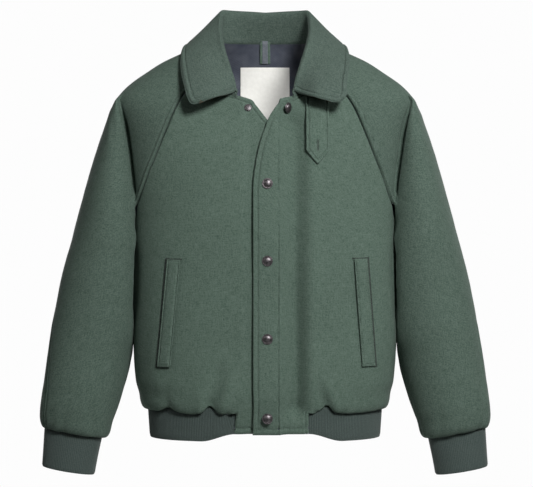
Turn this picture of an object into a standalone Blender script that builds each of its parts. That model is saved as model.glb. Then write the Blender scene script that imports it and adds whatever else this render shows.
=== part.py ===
"""Wool bomber jacket with raglan sleeves, a shirt collar, snap placket and ribbed hem and cuffs.

The jacket is filled out with no wearer. Metres, +Z up, front towards -Y. The origin is at the
base of the neck, where a wearer's shoulders carry it. "left" and "right" are the wearer's own, so
the left side lies at +X. Each cloth piece is a wall: an outer grid of points on the garment's
form, an inner grid one wall thickness inside it, and a rim round the edges.
"""
import math

import bpy
import numpy as np

MM = 0.001

# Cloth and seams
WALL = 3.0 * MM              # melton with its lining
RIB_WALL = 2.6 * MM          # rib knit, doubled
COLLAR_WALL = 4.0 * MM       # two layers of melton
SEAM_GAP = 0.3 * MM          # between two pieces that are sewn together
LAYER_GAP = 0.5 * MM         # between a panel and what lies on it
SLEEVE_CLEARANCE = 1.2 * MM  # between a sleeve and the side of the body

# Heights that the cut turns on
UNDERARM_Z = -0.290          # where side seam, underarm seam and raglan seams meet
DIVE_Z = -0.250              # where the raglan seam comes out of the fold beside the arm
NECK_Z = 0.036               # back neck seam
SHOULDER_TIP_Z = -0.064      # the arm begins to stand out from the shoulder here
BULGE_TOP_Z = -0.548         # the body starts to curl under, over the hem rib
BULGE_Z = -0.5725            # underside of that curl
HEM_Z = -0.6185              # bottom edge of the rib
STRIP_HEM_Z = -0.606         # bottom edge of the plain fronts beside the placket
BLOUSE = 14.0 * MM           # how far the body hangs out past the rib

# Widths at the front, from the centre line
PLACKET_LEAD = 0.019         # leading edge of the left front, past the centre line
UNDERLAP = 0.020             # leading edge of the right front, under the placket
STRIP_LEFT = 0.0695          # end of the rib on the left front
STRIP_RIGHT = 0.0475         # end of the rib on the right front
LAP_REACH = 0.034            # how far from the centre line the lapped layers step apart
LAP_OUT = 2.3 * MM
LAP_IN = 1.9 * MM

TORSO_COLUMNS = ("z", "side", "front", "back", "square")
TORSO_ROWS = [
    (0.0360, 0.0880, 0.0320, 0.0790, 2.20),
    (0.0260, 0.1020, 0.0400, 0.0825, 2.20),
    (0.0165, 0.1230, 0.0470, 0.0855, 2.25),
    (0.0065, 0.1450, 0.0540, 0.0890, 2.30),
    (-0.0032, 0.1660, 0.0610, 0.0930, 2.35),
    (-0.0230, 0.1960, 0.0735, 0.1000, 2.45),
    (-0.0430, 0.2240, 0.0845, 0.1070, 2.60),
    (-0.0640, 0.2425, 0.0940, 0.1125, 2.85),
    (-0.0750, 0.2445, 0.0980, 0.1145, 2.95),
    (-0.1100, 0.2380, 0.1085, 0.1195, 2.75),
    (-0.1500, 0.2300, 0.1170, 0.1235, 2.60),
    (-0.1920, 0.2232, 0.1230, 0.1255, 2.60),
    (-0.2324, 0.2185, 0.1265, 0.1255, 2.60),
    (-0.2746, 0.2162, 0.1285, 0.1245, 2.60),
    (-0.3280, 0.2165, 0.1285, 0.1225, 2.60),
    (-0.4000, 0.2170, 0.1275, 0.1205, 2.60),
    (-0.4550, 0.2165, 0.1275, 0.1200, 2.60),
    (-0.5000, 0.2145, 0.1285, 0.1210, 2.60),
    (-0.5380, 0.2110, 0.1290, 0.1215, 2.60),
    (-0.5560, 0.2075, 0.1280, 0.1205, 2.60),
]

# The hem rib is one ring, a little narrower at its bottom edge.
RIB = {"side": 0.1925, "front": 0.1165, "back": 0.1125, "square": 2.5}
STRIP_FRONT = 0.1180         # depth of the plain front strip at its bottom edge
BODY_SQUARE = 2.60           # how square the body's section is below the chest

# A sleeve is an oval tube; over the shoulder tip it is sunk in the body and only its swell shows.
ARM_COLUMNS = ("z", "outer", "width", "depth", "drift", "tilt")
ARM_ROWS = [
    (-0.0640, 0.2425, 0.0040, 0.1040, 0.000, 0.00),
    (-0.0750, 0.2495, 0.0170, 0.1120, 0.000, 0.00),
    (-0.1100, 0.2643, 0.0480, 0.1280, 0.000, 0.00),
    (-0.1500, 0.2780, 0.0690, 0.1400, 0.000, 0.00),
    (-0.2000, 0.2926, 0.0915, 0.1520, 0.000, 0.00),
    (-0.2500, 0.3066, 0.1120, 0.1580, 0.000, 0.00),
    (-0.3000, 0.3191, 0.1270, 0.1570, -0.001, 0.01),
    (-0.3500, 0.3317, 0.1410, 0.1500, -0.003, 0.04),
    (-0.4000, 0.3420, 0.1455, 0.1410, -0.006, 0.08),
    (-0.4500, 0.3505, 0.1420, 0.1320, -0.010, 0.12),
    (-0.4700, 0.3535, 0.1370, 0.1290, -0.011, 0.135),
    (-0.5000, 0.3580, 0.1350, 0.1240, -0.013, 0.155),
    (-0.5300, 0.3620, 0.1310, 0.1200, -0.015, 0.17),
    (-0.5600, 0.3660, 0.1270, 0.1160, -0.016, 0.185),
    (-0.5800, 0.3685, 0.1225, 0.1120, -0.017, 0.19),
    (-0.5950, 0.3700, 0.1180, 0.1060, -0.017, 0.19),
]
CUFF_COLUMNS = ("z", "outer", "width", "depth", "drift", "tilt")
CUFF_ROWS = [
    (-0.6190, 0.3590, 0.0890, 0.0600, -0.018, 0.19),
    (-0.6500, 0.3610, 0.0840, 0.0590, -0.018, 0.19),
    (-0.6770, 0.3630, 0.0810, 0.0570, -0.018, 0.19),
]
SLEEVE_CURL_Z = -0.6185      # underside of the curl over the cuff, at the sleeve's centre
SLEEVE_CURL_TOP_Z = -0.595

# Raglan seams: distance from the centre line at each height.
RAGLAN_COLUMNS = ("z", "front", "back")
RAGLAN_ROWS = [
    (0.0360, 0.0860, 0.0600),
    (-0.0120, 0.0860, 0.0830),
    (-0.0400, 0.1100, 0.1060),
    (-0.0613, 0.1276, 0.1240),
    (-0.0773, 0.1385, 0.1360),
    (-0.1242, 0.1600, 0.1600),
    (-0.1609, 0.1755, 0.1770),
    (-0.1893, 0.1880, 0.1900),
    (-0.2190, 0.1990, 0.2010),
    (-0.2500, 0.2110, 0.2130),
]

# Front edges above the closed placket, then the neckline under the collar, at each height.
EDGE_COLUMNS = ("z", "left", "right")
EDGE_ROWS = [
    (-0.2100, -PLACKET_LEAD, -UNDERLAP),
    (-0.1980, -0.0180, -UNDERLAP),
    (-0.1430, -0.0080, -UNDERLAP),
    (-0.1200, 0.0000, -0.0170),
    (-0.1040, 0.0055, -0.0030),
    (-0.0810, 0.0207, 0.0144),
    (-0.0705, 0.0290, 0.0250),
    (-0.0660, 0.0460, 0.0440),
    (-0.0600, 0.0575, 0.0575),
    (-0.0400, 0.0700, 0.0700),
    (-0.0200, 0.0785, 0.0785),
    (-0.0120, 0.0815, 0.0815),
    (0.0000, 0.0850, 0.0850),
    (0.0150, 0.0875, 0.0875),
    (0.0300, 0.0885, 0.0885),
    (0.0360, 0.0880, 0.0880),
]

# Largest folds: soft troughs (negative depth) and ridges on the fronts and back.
FOLD_COLUMNS = ("face", "x0", "z0", "x1", "z1", "width", "depth")
FOLDS = [
    ("front", 0.046, -0.290, 0.052, -0.560, 0.012, -5.0 * MM),
    ("front", -0.060, -0.510, -0.088, -0.575, 0.009, -6.0 * MM),
    ("front", 0.083, -0.530, 0.098, -0.575, 0.009, -6.0 * MM),
    ("front", -0.168, -0.545, -0.150, -0.575, 0.008, -4.0 * MM),
    ("back", -0.105, -0.500, -0.090, -0.575, 0.010, -5.0 * MM),
    ("back", 0.020, -0.520, 0.032, -0.575, 0.010, -5.0 * MM),
    ("back", 0.125, -0.505, 0.110, -0.575, 0.010, -5.0 * MM),
]

# Collar: where the roll line and the outer edge run, from the front end (0) to the centre back (1).
COLLAR_COLUMNS = ("part", "roll_x", "roll_y", "roll_z", "edge_x", "edge_y", "edge_z")
COLLAR_ROWS = [
    (0.00, 0.0460, -0.0985, -0.0530, 0.0980, -0.1120, -0.0800),
    (0.02, 0.0475, -0.0960, -0.0490, 0.1080, -0.1115, -0.0815),
    (0.05, 0.0500, -0.0920, -0.0420, 0.1170, -0.1090, -0.0775),
    (0.08, 0.0525, -0.0885, -0.0350, 0.1220, -0.1060, -0.0690),
    (0.14, 0.0580, -0.0790, -0.0190, 0.1260, -0.0995, -0.0560),
    (0.30, 0.0700, -0.0460, 0.0215, 0.1345, -0.0740, -0.0210),
    (0.45, 0.0750, -0.0020, 0.0560, 0.1375, -0.0400, 0.0050),
    (0.55, 0.0750, 0.0280, 0.0740, 0.1350, 0.0000, 0.0210),
    (0.68, 0.0700, 0.0600, 0.0893, 0.1180, 0.0560, 0.0260),
    (0.84, 0.0380, 0.0820, 0.0888, 0.0720, 0.0930, 0.0230),
    (1.00, 0.0000, 0.0890, 0.0870, 0.0000, 0.1080, 0.0180),
]
ROLL_RADIUS = 6.0 * MM
FALL_SWELL = 7.0 * MM

# Pocket welts: centre line at top and bottom, from the centre front
WELT_TOP = (0.147, -0.330)
WELT_BOTTOM = (0.160, -0.498)
WELT_WIDTH = 0.020
WELT_WALL = 2.6 * MM

# Snaps
SNAP_RADIUS = 8.5 * MM
SNAP_RIM = 1.4 * MM
SNAP_DOME = 3.0 * MM
SNAP_X = 0.0040
SNAP_HEIGHTS = (-0.2085, -0.3305, -0.4540, -0.5795)
TOP_SNAP = (0.0370, -0.0880)
SOCKET = (-0.0270, -0.0860)
SOCKET_RADIUS = 6.0 * MM
SOCKET_RIM = 1.6 * MM
SOCKET_DOME = 0.6 * MM
NECK_LIFT = 1.5 * MM         # the cloth is more curved under the two snaps at the neck

# Throat tab, under the collar of the left front
TAB_X = 0.0835
TAB_WIDTH = 0.037
TAB_TOP_Z = -0.066
TAB_SHOULDER_Z = -0.155
TAB_TIP_Z = -0.177
TAB_WALL = 3.4 * MM
TAB_LIFT = 2.0 * MM

# Inside the back neck
LINING_WALL = 1.2 * MM
LINING_BOTTOM_Z = -0.200
LABEL_WIDTH = 0.084
LABEL_TOP_Z = -0.002
LABEL_BOTTOM_Z = -0.094
LABEL_WALL = 0.8 * MM
LOOP_WIDTH = 0.018
LOOP_TOP_Z = 0.0335
LOOP_BOTTOM_Z = 0.0040
LOOP_WALL = 1.6 * MM

RAGLAN_TOP_Z = -0.012        # the front raglan seam ends at the neckline here
SLEEVE_FOLD = 0.30           # share of a sleeve's width that lies behind the fold, elsewhere
FOLD_TOP_DEPTH = 0.048       # how far forward and back the fold beside the arm begins

DENSE = 241                  # points on an outline before it is cut into columns

# Rolled-under lower edges of the body and the sleeves
CURL_STEPS = 5
CURL_ROUND = 0.75            # share of the steps that go round; the rest tuck in behind the rib
CURL_LEFT = 0.35             # share of the overhang that is left under the roll

# Rows of points, from the neck down. Panels and sleeves share the rows of the raglan seams.
NECK_HEIGHTS = [0.024, 0.012, 0.000]
SEAM_HEIGHTS = [-0.012, -0.028, -0.044, -0.060, -0.066, -0.0705, -0.081, -0.104, -0.130, -0.160,
                -0.190, -0.220, -0.250, -0.270, -0.290]
BODY_HEIGHTS = SEAM_HEIGHTS + [-0.330, -0.380, -0.430, -0.475, -0.510, -0.530]
SLEEVE_HEIGHTS = NECK_HEIGHTS + SEAM_HEIGHTS + [-0.310, -0.350, -0.400, -0.450, -0.500, -0.545,
                                                -0.575, -0.592]
STRIP_HEIGHTS = [-0.588, STRIP_HEM_Z]
RIB_MIDDLE_Z = -0.592
RIB_SCALE = (0.988, 0.992, 0.996, 1.0)       # from the bottom edge up
CUFF_HEIGHTS = [CUFF_ROWS[0][0], -0.640, -0.660, CUFF_ROWS[-1][0]]
TAB_HEIGHTS = (TAB_TOP_Z, -0.085, -0.105, -0.130, TAB_SHOULDER_Z, TAB_TIP_Z + 0.010, TAB_TIP_Z)
LINING_HEIGHTS = (0.030, 0.010, -0.020, -0.060, -0.100, -0.150, LINING_BOTTOM_Z)
COLLAR_PARTS = (0, 0.02, 0.05, 0.08, 0.14, 0.22, 0.30, 0.38, 0.46, 0.54, 0.62, 0.70, 0.80, 0.90, 1)
COLLAR_STEPS = (2, 4, 4)     # points up the stand, over the roll and down the fall

# Columns of points across each piece
FRONT_COLUMNS = 16
BACK_HALF_COLUMNS = 9
SLEEVE_FOLD_COLUMNS = 3      # on the body side of the fold beside the arm
SLEEVE_ARM_COLUMNS = 8
CUFF_COLUMNS_HALF = 16
RIB_COLUMNS = 56
BUTTON_SIDES = 12

SLEEVE_TOP_Z = 0.032         # the front half of a sleeve ends in a narrow tip at the neck
OVERARM_TURN_TOP_Z = -0.380  # below this the overarm seam turns towards the front
OVERARM_TURN = math.radians(32)

# Plain colours, linear
MELTON = (0.082, 0.118, 0.095)
RIB_GREEN = (0.045, 0.062, 0.058)
GUNMETAL = (0.14, 0.13, 0.13)
SATIN = (0.048, 0.055, 0.074)
CREAM = (0.85, 0.84, 0.80)


# ---------------------------------------------------------------- smooth tables and lines

def smooth(xs, ys):
    """Return a function: a smooth curve through the points that never overshoots them."""
    step = np.diff(xs)
    slope = np.diff(ys) / step
    tangent = np.concatenate(([slope[0]], (slope[1:] + slope[:-1]) / 2, [slope[-1]]))
    turns = slope[1:] * slope[:-1] <= 0
    tangent[1:-1][turns] = 0.0
    limit = 3 * np.minimum(np.abs(np.append(slope, slope[-1])), np.abs(np.append(slope[0], slope)))
    tangent = np.sign(tangent) * np.minimum(np.abs(tangent), limit)

    def at(x):
        x = np.clip(x, xs[0], xs[-1])
        i = np.clip(np.searchsorted(xs, x, side="right") - 1, 0, len(xs) - 2)
        t = (x - xs[i]) / step[i]
        keep = (1 + 2 * t) * (1 - t) ** 2 * ys[i] + t * t * (3 - 2 * t) * ys[i + 1]
        turn = t * (1 - t) ** 2 * step[i] * tangent[i] - t * t * (1 - t) * step[i] * tangent[i + 1]
        return keep + turn
    return at


def table(columns, rows):
    """Turn rows with named columns into one smooth function for each column after the first."""
    data = np.array(sorted(rows))
    return {name: smooth(data[:, 0], data[:, i]) for i, name in enumerate(columns) if i}


TORSO = table(TORSO_COLUMNS, TORSO_ROWS)
ARM = table(ARM_COLUMNS, ARM_ROWS)
CUFF = table(CUFF_COLUMNS, CUFF_ROWS)
RAGLAN = table(RAGLAN_COLUMNS, RAGLAN_ROWS)
EDGE = table(EDGE_COLUMNS, EDGE_ROWS)
COLLAR = table(COLLAR_COLUMNS, COLLAR_ROWS)


def ease(t):
    """0 to 1, flat at both ends."""
    t = np.clip(t, 0.0, 1.0)
    return t * t * (3 - 2 * t)


def length_along(line):
    return np.concatenate(([0.0], np.cumsum(np.linalg.norm(np.diff(line, axis=0), axis=1))))


def cut_line(line, fractions, trim=(SEAM_GAP / 2, SEAM_GAP / 2)):
    """Points at the fractions of a line's length, after its two ends are trimmed."""
    run = length_along(line)
    wanted = trim[0] + np.asarray(fractions) * (run[-1] - trim[0] - trim[1])
    return np.stack([np.interp(wanted, run, line[:, k]) for k in range(line.shape[1])], axis=1)


def soften(line, reach=0.004):
    """Round the corners of a line over a short reach, keeping its ends."""
    count = len(line)
    even = cut_line(line, np.linspace(0, 1, count), (0, 0))
    half = max(1, int(reach / (length_along(even)[-1] / (count - 1))))
    for _ in range(2):
        before = 2 * even[0] - even[half:0:-1]
        after = 2 * even[-1] - even[-2:-2 - half:-1]
        padded = np.concatenate((before, even, after))
        total = np.cumsum(np.concatenate((np.zeros((1, line.shape[1])), padded)), axis=0)
        even = (total[2 * half + 1:] - total[:-2 * half - 1]) / (2 * half + 1)
    return even


# ---------------------------------------------------------------- the garment's form
# A quarter of the form is worked out at each height: x from the centre line outwards, and
# y from the side's mid line towards the front or the back.

def torso_size(z, face):
    return TORSO["side"](z), TORSO[face](z), TORSO["square"](z)


def oval(side, depth, square, angle):
    """A squared oval; angle 0 is the centre line and pi/2 the side."""
    s, c = np.sin(angle), np.cos(angle)
    x = side * np.sign(s) * np.abs(s) ** (2 / square)
    return np.stack([x, depth * np.abs(c) ** (2 / square)], axis=-1)


def torso_x(z, face, y):
    """How far out the torso reaches at the depth y."""
    side, depth, square = torso_size(z, face)
    return side * np.clip(1 - np.clip(np.abs(y) / depth, 0, 1) ** square, 0, 1) ** (1 / square)


def torso_angle_at_x(z, face, x):
    side, _, square = torso_size(z, face)
    return np.sign(x) * np.arcsin(np.clip(abs(x) / side, 0, 1) ** (square / 2))


def torso_angle_at_y(z, face, y):
    _, depth, square = torso_size(z, face)
    return np.arccos(np.clip(y / depth, 0, 1) ** (square / 2))


def torso_normal(z, face, angle, mirror):
    """The way the torso's form faces, at a point of its outline in the world."""
    def at(height, turn):
        side, depth, square = torso_size(height, face)
        return place(oval(side, depth, square, np.array([turn])), height, face, mirror)[0]
    normal = np.cross(at(z, angle + 0.01) - at(z, angle - 0.01), at(z + MM, angle) - at(z - MM, angle))
    normal *= mirror * (-1 if face == "back" else 1)
    return normal / np.linalg.norm(normal)


def seam_facing(grid, heights, face, mirror, column):
    """Grid normals, with the raglan seam's column facing as the torso does on both its sides."""
    facing = grid_normals(grid)
    for i, z in enumerate(heights):
        if z >= DIVE_Z:
            facing[i, column] = torso_normal(z, face, seam_angle(z, face), mirror)
    return facing


def torso_line(z, face, start, end):
    """The torso's outline between two angles, with points crowded at neither end."""
    side, depth, square = torso_size(z, face)
    return oval(side, depth, square, start + (end - start) * np.linspace(0, 1, DENSE))


def arm_line(sizes, z, face, start, end):
    """An oval sleeve's outline; angle pi is its inner side, pi/2 its front or back, 0 outside."""
    width, depth = sizes["width"](z) / 2, sizes["depth"](z) / 2
    drift = sizes["drift"](z) * (-1 if face == "front" else 1)
    angle = np.linspace(start, end, DENSE)
    x = sizes["outer"](z) - width + width * np.cos(angle)
    return np.stack([x, drift + depth * np.sin(angle)], axis=1)


def crease(z, face):
    """Depth at which the sleeve meets the torso, and the arm's outline from there outwards."""
    arm = arm_line(ARM, z, face, math.pi, 0.0)
    out = arm[:, 0] > torso_x(z, face, arm[:, 1])
    if z > SHOULDER_TIP_Z or not out.any():
        return None, None
    first = int(np.argmax(out))
    return arm[first, 1], arm[first:]


def seam_depth(z, face):
    """Depth of the raglan seam at the bottom of the fold beside the arm."""
    depth = crease(z, face)[0]
    return depth * ease((z - UNDERARM_Z) / (DIVE_Z - UNDERARM_Z))


def seam_angle(z, face):
    """Where a front or back panel ends: at the raglan seam, or at the side seam below the arm."""
    if z < UNDERARM_Z:
        return math.pi / 2
    if z < DIVE_Z:
        return torso_angle_at_y(z, face, seam_depth(z, face))
    depth = crease(z, face)[0]
    raglan = torso_angle_at_x(z, face, RAGLAN[face](z))
    return raglan if depth is None else min(raglan, torso_angle_at_y(z, face, depth))


def fold_gap(z):
    """Half the gap at a seam; it opens a little where the raglan seam turns into the fold."""
    return SEAM_GAP / 2 + 0.8 * MM * ease(1 - abs(z - DIVE_Z) / 0.06)


def neck_angle(z, face, wearer_side):
    """Where a panel starts: at its front edge or its neckline."""
    if face == "back":
        return torso_angle_at_x(z, face, RAGLAN[face](z))
    return torso_angle_at_x(z, face, EDGE[wearer_side](z))


def sleeve_line(z, face, overarm=0.0):
    """A raglan sleeve's outline from its body side to its overarm seam, and the fold's place."""
    if z < UNDERARM_Z:
        arm = arm_line(ARM, z, face, math.pi, overarm)
        arm[:, 0] = np.maximum(arm[:, 0], torso_x(z, face, arm[:, 1]) + SLEEVE_CLEARANCE)
        return arm, SLEEVE_FOLD
    depth, arm = crease(z, face)
    if z < DIVE_Z:
        bottom = seam_depth(z, face)
        arm = arm_line(ARM, z, face, math.pi, 0.0)
        arm = arm[(arm[:, 1] >= bottom) | (arm[:, 0] > ARM["outer"](z) - ARM["width"](z) / 2)]
        away = SEAM_GAP + (SLEEVE_CLEARANCE - SEAM_GAP) * ease((arm[:, 1] - bottom) / 0.01)
        arm[:, 0] = np.maximum(arm[:, 0], torso_x(z, face, arm[:, 1]) + away)
        return arm, SLEEVE_FOLD
    top = seam_angle(z, face)
    if face == "front" and z > RAGLAN_TOP_Z:
        top = neck_angle(z, face, "left")
    if depth is None:
        body = torso_line(z, face, top, math.pi / 2)
        run = length_along(body)
        fold = run[np.argmax(body[:, 1] <= FOLD_TOP_DEPTH)] / run[-1]
        return body, SLEEVE_FOLD + ease(-z / 0.05) * (fold - SLEEVE_FOLD)
    body = torso_line(z, face, top, torso_angle_at_y(z, face, depth))
    fold = length_along(body)[-1] / (length_along(body)[-1] + length_along(arm)[-1])
    share = ease((z - DIVE_Z) / 0.06)
    line = soften(np.concatenate((body[:-1], arm)))
    return line, SLEEVE_FOLD + share * (fold - SLEEVE_FOLD)


# ---------------------------------------------------------------- meshes

def grid_normals(grid, wrap=False):
    """Unit normals of a grid of points, from its neighbours along rows and columns."""
    along = np.gradient(grid, axis=0, edge_order=2)
    if wrap:
        across = (np.roll(grid, -1, axis=1) - np.roll(grid, 1, axis=1)) / 2
    else:
        across = np.gradient(grid, axis=1, edge_order=2)
    normal = np.cross(across, along)
    return normal / np.maximum(np.linalg.norm(normal, axis=2, keepdims=True), 1e-12)


def add_object(name, vertices, faces, colour, roughness=0.9, metallic=0.0):
    mesh = bpy.data.meshes.new(name)
    mesh.from_pydata([tuple(map(float, v)) for v in vertices], [], faces)
    mesh.shade_smooth()
    mesh.set_sharp_from_angle(angle=math.radians(40))
    material = bpy.data.materials.new(name)
    material.use_nodes = True
    shader = material.node_tree.nodes["Principled BSDF"]
    shader.inputs["Base Color"].default_value = (*colour, 1.0)
    shader.inputs["Roughness"].default_value = roughness
    shader.inputs["Metallic"].default_value = metallic
    mesh.materials.append(material)
    obj = bpy.data.objects.new(name, mesh)
    bpy.context.collection.objects.link(obj)
    return obj


def cloth_wall(name, grid, thickness, colour, keep=None, wrap=False, facing=None):
    """Close a grid of outer points into a wall. keep says which of its cells are cloth."""
    rows, cols = grid.shape[:2]
    natural = grid_normals(grid, wrap)
    facing = natural if facing is None else facing
    inner = grid - facing * thickness
    vertices = np.concatenate((grid.reshape(-1, 3), inner.reshape(-1, 3)))
    offset = rows * cols
    span = cols if wrap else cols - 1
    keep = np.ones((rows - 1, span), bool) if keep is None else keep
    faces = []
    edges = set()
    for i, j in zip(*np.nonzero(keep)):
        k = (j + 1) % cols
        cell = (i * cols + j, i * cols + k, (i + 1) * cols + k, (i + 1) * cols + j)
        for corners in split_cell(cell, vertices):
            faces.append(corners)
            faces.append(tuple(offset + v for v in reversed(corners)))
        edges.update(zip(cell, cell[1:] + cell[:1]))
    for a, b in sorted(edges):
        if (b, a) not in edges:
            faces.append((b, a, offset + a, offset + b))
    if (natural * facing).sum() < 0:
        faces = [face[::-1] for face in faces]
    used = sorted({v for face in faces for v in face})
    new_index = {v: n for n, v in enumerate(used)}
    faces = [tuple(new_index[v] for v in face) for face in faces]
    return add_object(name, vertices[used], faces, colour)


def split_cell(cell, vertices):
    """Cut a four-sided cell in two along its shorter diagonal."""
    a, b, c, d = cell
    if np.linalg.norm(vertices[a] - vertices[c]) <= np.linalg.norm(vertices[b] - vertices[d]):
        return (a, b, c), (a, c, d)
    return (a, b, d), (b, c, d)


def fold_relief(face, x, z):
    """Sum of the large soft folds at points of one face."""
    relief = np.zeros_like(x)
    for row in FOLDS:
        fold = dict(zip(FOLD_COLUMNS, row))
        if fold["face"] != face:
            continue
        start = np.array([fold["x0"], fold["z0"]])
        run = np.array([fold["x1"], fold["z1"]]) - start
        t = ((x - start[0]) * run[0] + (z - start[1]) * run[1]) / (run @ run)
        near = np.clip(t, 0, 1)
        gap = np.hypot(x - start[0] - near * run[0], z - start[1] - near * run[1])
        rise = ease(1.0 - np.abs(np.clip(t, -0.3, 1.0) - 1.0) / 1.3) ** 0.6
        relief += fold["depth"] * np.exp(-(gap / fold["width"]) ** 2) * rise
    return relief


def lap_relief(x, wearer_side):
    """Step the two fronts apart where one lies on the other."""
    reach = 1 - ease((np.abs(x) - LAP_REACH + 0.010) / 0.014)
    return (LAP_OUT if wearer_side == "left" else -LAP_IN) * reach


def place(line, z, face, mirror):
    """Put a quarter outline into the world."""
    sign_y = -1 if face == "front" else 1
    z = np.broadcast_to(z, line[:, 0].shape)
    return np.stack([line[:, 0] * mirror, sign_y * line[:, 1], z], axis=1)


def orient(grid, mirror, face):
    """Flip a grid so that its normals point out of the garment."""
    return grid[:, ::-1] if mirror * (-1 if face == "front" else 1) < 0 else grid


# ---------------------------------------------------------------- body panels

def curl(step):
    """A step round the rolled-under edge: share of the drop, of the overhang, and of the tuck."""
    turn = step / CURL_STEPS
    angle = math.pi / 2 * min(1.0, turn / CURL_ROUND)
    overhang = CURL_LEFT + (1 - CURL_LEFT) * math.cos(angle)
    return math.sin(angle), overhang, max(0.0, turn - CURL_ROUND) / (1 - CURL_ROUND)


def rib_point(angle, face, out=0.0):
    return oval(RIB["side"] + out, RIB[face] + out, RIB["square"], angle)


def strip_share(x, strip_end):
    """0 on the plain strip beside the placket, 1 where the body blouses over the rib."""
    return ease((x - strip_end - 0.004) / 0.024)


def strip_outline(side, z, angle):
    """Depth of the flat strip of the front from the bulge down to its bottom edge."""
    part = (BULGE_TOP_Z - z) / (BULGE_TOP_Z - STRIP_HEM_Z)
    depth = TORSO["front"](BULGE_TOP_Z) * (1 - part) + STRIP_FRONT * part
    return oval(side, depth, BODY_SQUARE, angle)[:, 1]


def panel_rows(face, wearer_side, fractions, strip_end):
    """Rows of a half panel from the neck down to the curl over the rib."""
    mirror = 1 if wearer_side == "left" else -1
    rows = []
    for z in BODY_HEIGHTS:
        start = neck_angle(z, face, wearer_side) if face == "front" else 0.0
        line = torso_line(z, face, start, seam_angle(z, face))
        trim = (SEAM_GAP / 2 if face == "front" else 0.0, fold_gap(z))
        rows.append(place(cut_line(line, fractions, trim), z, face, mirror))
    last = rows[-1][:, 0] * mirror
    for step in range(CURL_STEPS + 1):
        drop, overhang, tuck = curl(step)
        out = BLOUSE * overhang - tuck * (BLOUSE * CURL_LEFT + RIB_WALL)
        z = BULGE_TOP_Z + (BULGE_Z - BULGE_TOP_Z) * drop
        side_shift = (last / TORSO["side"](BODY_HEIGHTS[-1])).clip(-1, 1)
        angle = np.sign(side_shift) * np.arcsin(np.abs(side_shift) ** (RIB["square"] / 2))
        blouse = rib_point(angle, face, out)
        share = strip_share(last, strip_end)[:, None] if face == "front" else 1.0
        flat = np.stack([last, strip_outline(TORSO["side"](BULGE_TOP_Z), z, angle)], 1)
        line = blouse * share + flat * (1 - share)
        rows.append(place(line, z, face, mirror))
    return rows


def add_front(wearer_side, colour):
    mirror = 1 if wearer_side == "left" else -1
    strip_end = STRIP_LEFT if wearer_side == "left" else STRIP_RIGHT
    bottom_start = EDGE[wearer_side](BODY_HEIGHTS[-1])
    reach = TORSO["side"](BODY_HEIGHTS[-1])
    strip_part = (strip_end - bottom_start) / length_of_bottom(bottom_start)
    strip_columns = max(4, round(FRONT_COLUMNS * strip_part * 1.3))
    fractions = np.concatenate((np.linspace(0, strip_part, strip_columns + 1)[:-1],
                                np.linspace(strip_part, 1, FRONT_COLUMNS - strip_columns + 1)))
    rows = panel_rows("front", wearer_side, fractions, strip_end)
    for z in STRIP_HEIGHTS:
        last = rows[-1].copy()
        angle = np.arcsin(np.clip(np.abs(last[:, 0]) / reach, 0, 1) ** (BODY_SQUARE / 2))
        last[:, 1] = -strip_outline(reach, z, angle)
        last[:, 2] = z
        rows.append(last)
    grid = np.array(rows)
    keep = np.ones((len(rows) - 1, len(fractions) - 1), bool)
    keep[-len(STRIP_HEIGHTS):, strip_columns:] = False
    grid, keep = shape_front(grid, keep, wearer_side, mirror)
    facing = seam_facing(grid, BODY_HEIGHTS, "front", mirror, 0 if mirror > 0 else -1)
    return cloth_wall("front_" + wearer_side, grid, WALL, colour, keep, facing=facing)


def length_of_bottom(start_x):
    """Length of a front's outline at the last straight row, from its edge to the side seam."""
    z = BODY_HEIGHTS[-1]
    line = torso_line(z, "front", torso_angle_at_x(z, "front", start_x), math.pi / 2)
    return length_along(line)[-1]


def shape_front(grid, keep, wearer_side, mirror):
    """Add the lap step and the folds to a front's grid, and turn it to face out."""
    flip = mirror * -1 < 0
    if flip:
        grid, keep = grid[:, ::-1], keep[:, ::-1]
    relief = lap_relief(grid[..., 0], wearer_side)
    relief = relief + fold_relief("front", grid[..., 0], grid[..., 2])
    return grid + grid_normals(grid) * relief[..., None], keep


def add_back(colour):
    half = np.linspace(0, 1, BACK_HALF_COLUMNS + 1)
    heights = [NECK_Z] + NECK_HEIGHTS + BODY_HEIGHTS
    rows = []
    for z in heights:
        line = torso_line(z, "back", 0.0, seam_angle(z, "back"))
        points = cut_line(line, half, (0.0, fold_gap(z)))
        rows.append(place(np.concatenate((points[:0:-1] * (-1, 1), points)), z, "back", 1))
    side = panel_rows("back", "left", half, 0.0)[-CURL_STEPS - 1:]
    for row in side:
        rows.append(np.concatenate((row[:0:-1] * (-1, 1, 1), row)))
    grid = orient(np.array(rows), 1, "back")
    relief = fold_relief("back", grid[..., 0], grid[..., 2])
    grid = grid + grid_normals(grid) * relief[..., None]
    facing = seam_facing(grid, heights, "back", 1, -1)
    facing[:, 0] = facing[:, -1] * (-1, 1, 1)
    return cloth_wall("back", grid, WALL, colour, facing=facing)


def add_hem_rib(colour):
    """The ribbed band from the end of one front strip, round the back, to the other."""
    heights = (HEM_Z, HEM_Z + 0.003, RIB_MIDDLE_Z, BULGE_Z - 4 * SEAM_GAP)
    start = rib_angle(STRIP_LEFT + SEAM_GAP)
    end = rib_angle(STRIP_RIGHT + SEAM_GAP)
    left = rib_point(np.linspace(start, math.pi / 2, DENSE), "front")
    back = rib_point(np.linspace(math.pi / 2, -math.pi / 2, 2 * DENSE), "back")
    right = rib_point(np.linspace(-math.pi / 2, -end, DENSE), "front")
    line = np.concatenate((left * (1, -1), back[1:], (right * (1, -1))[1:]))
    points = cut_line(line, np.linspace(0, 1, RIB_COLUMNS + 1), (0, 0))
    grid = np.array([np.column_stack((points * scale, np.full(len(points), z)))
                     for scale, z in zip(RIB_SCALE, heights)])
    return cloth_wall("hem_rib", grid, RIB_WALL, colour, facing=outward(grid))


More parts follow.
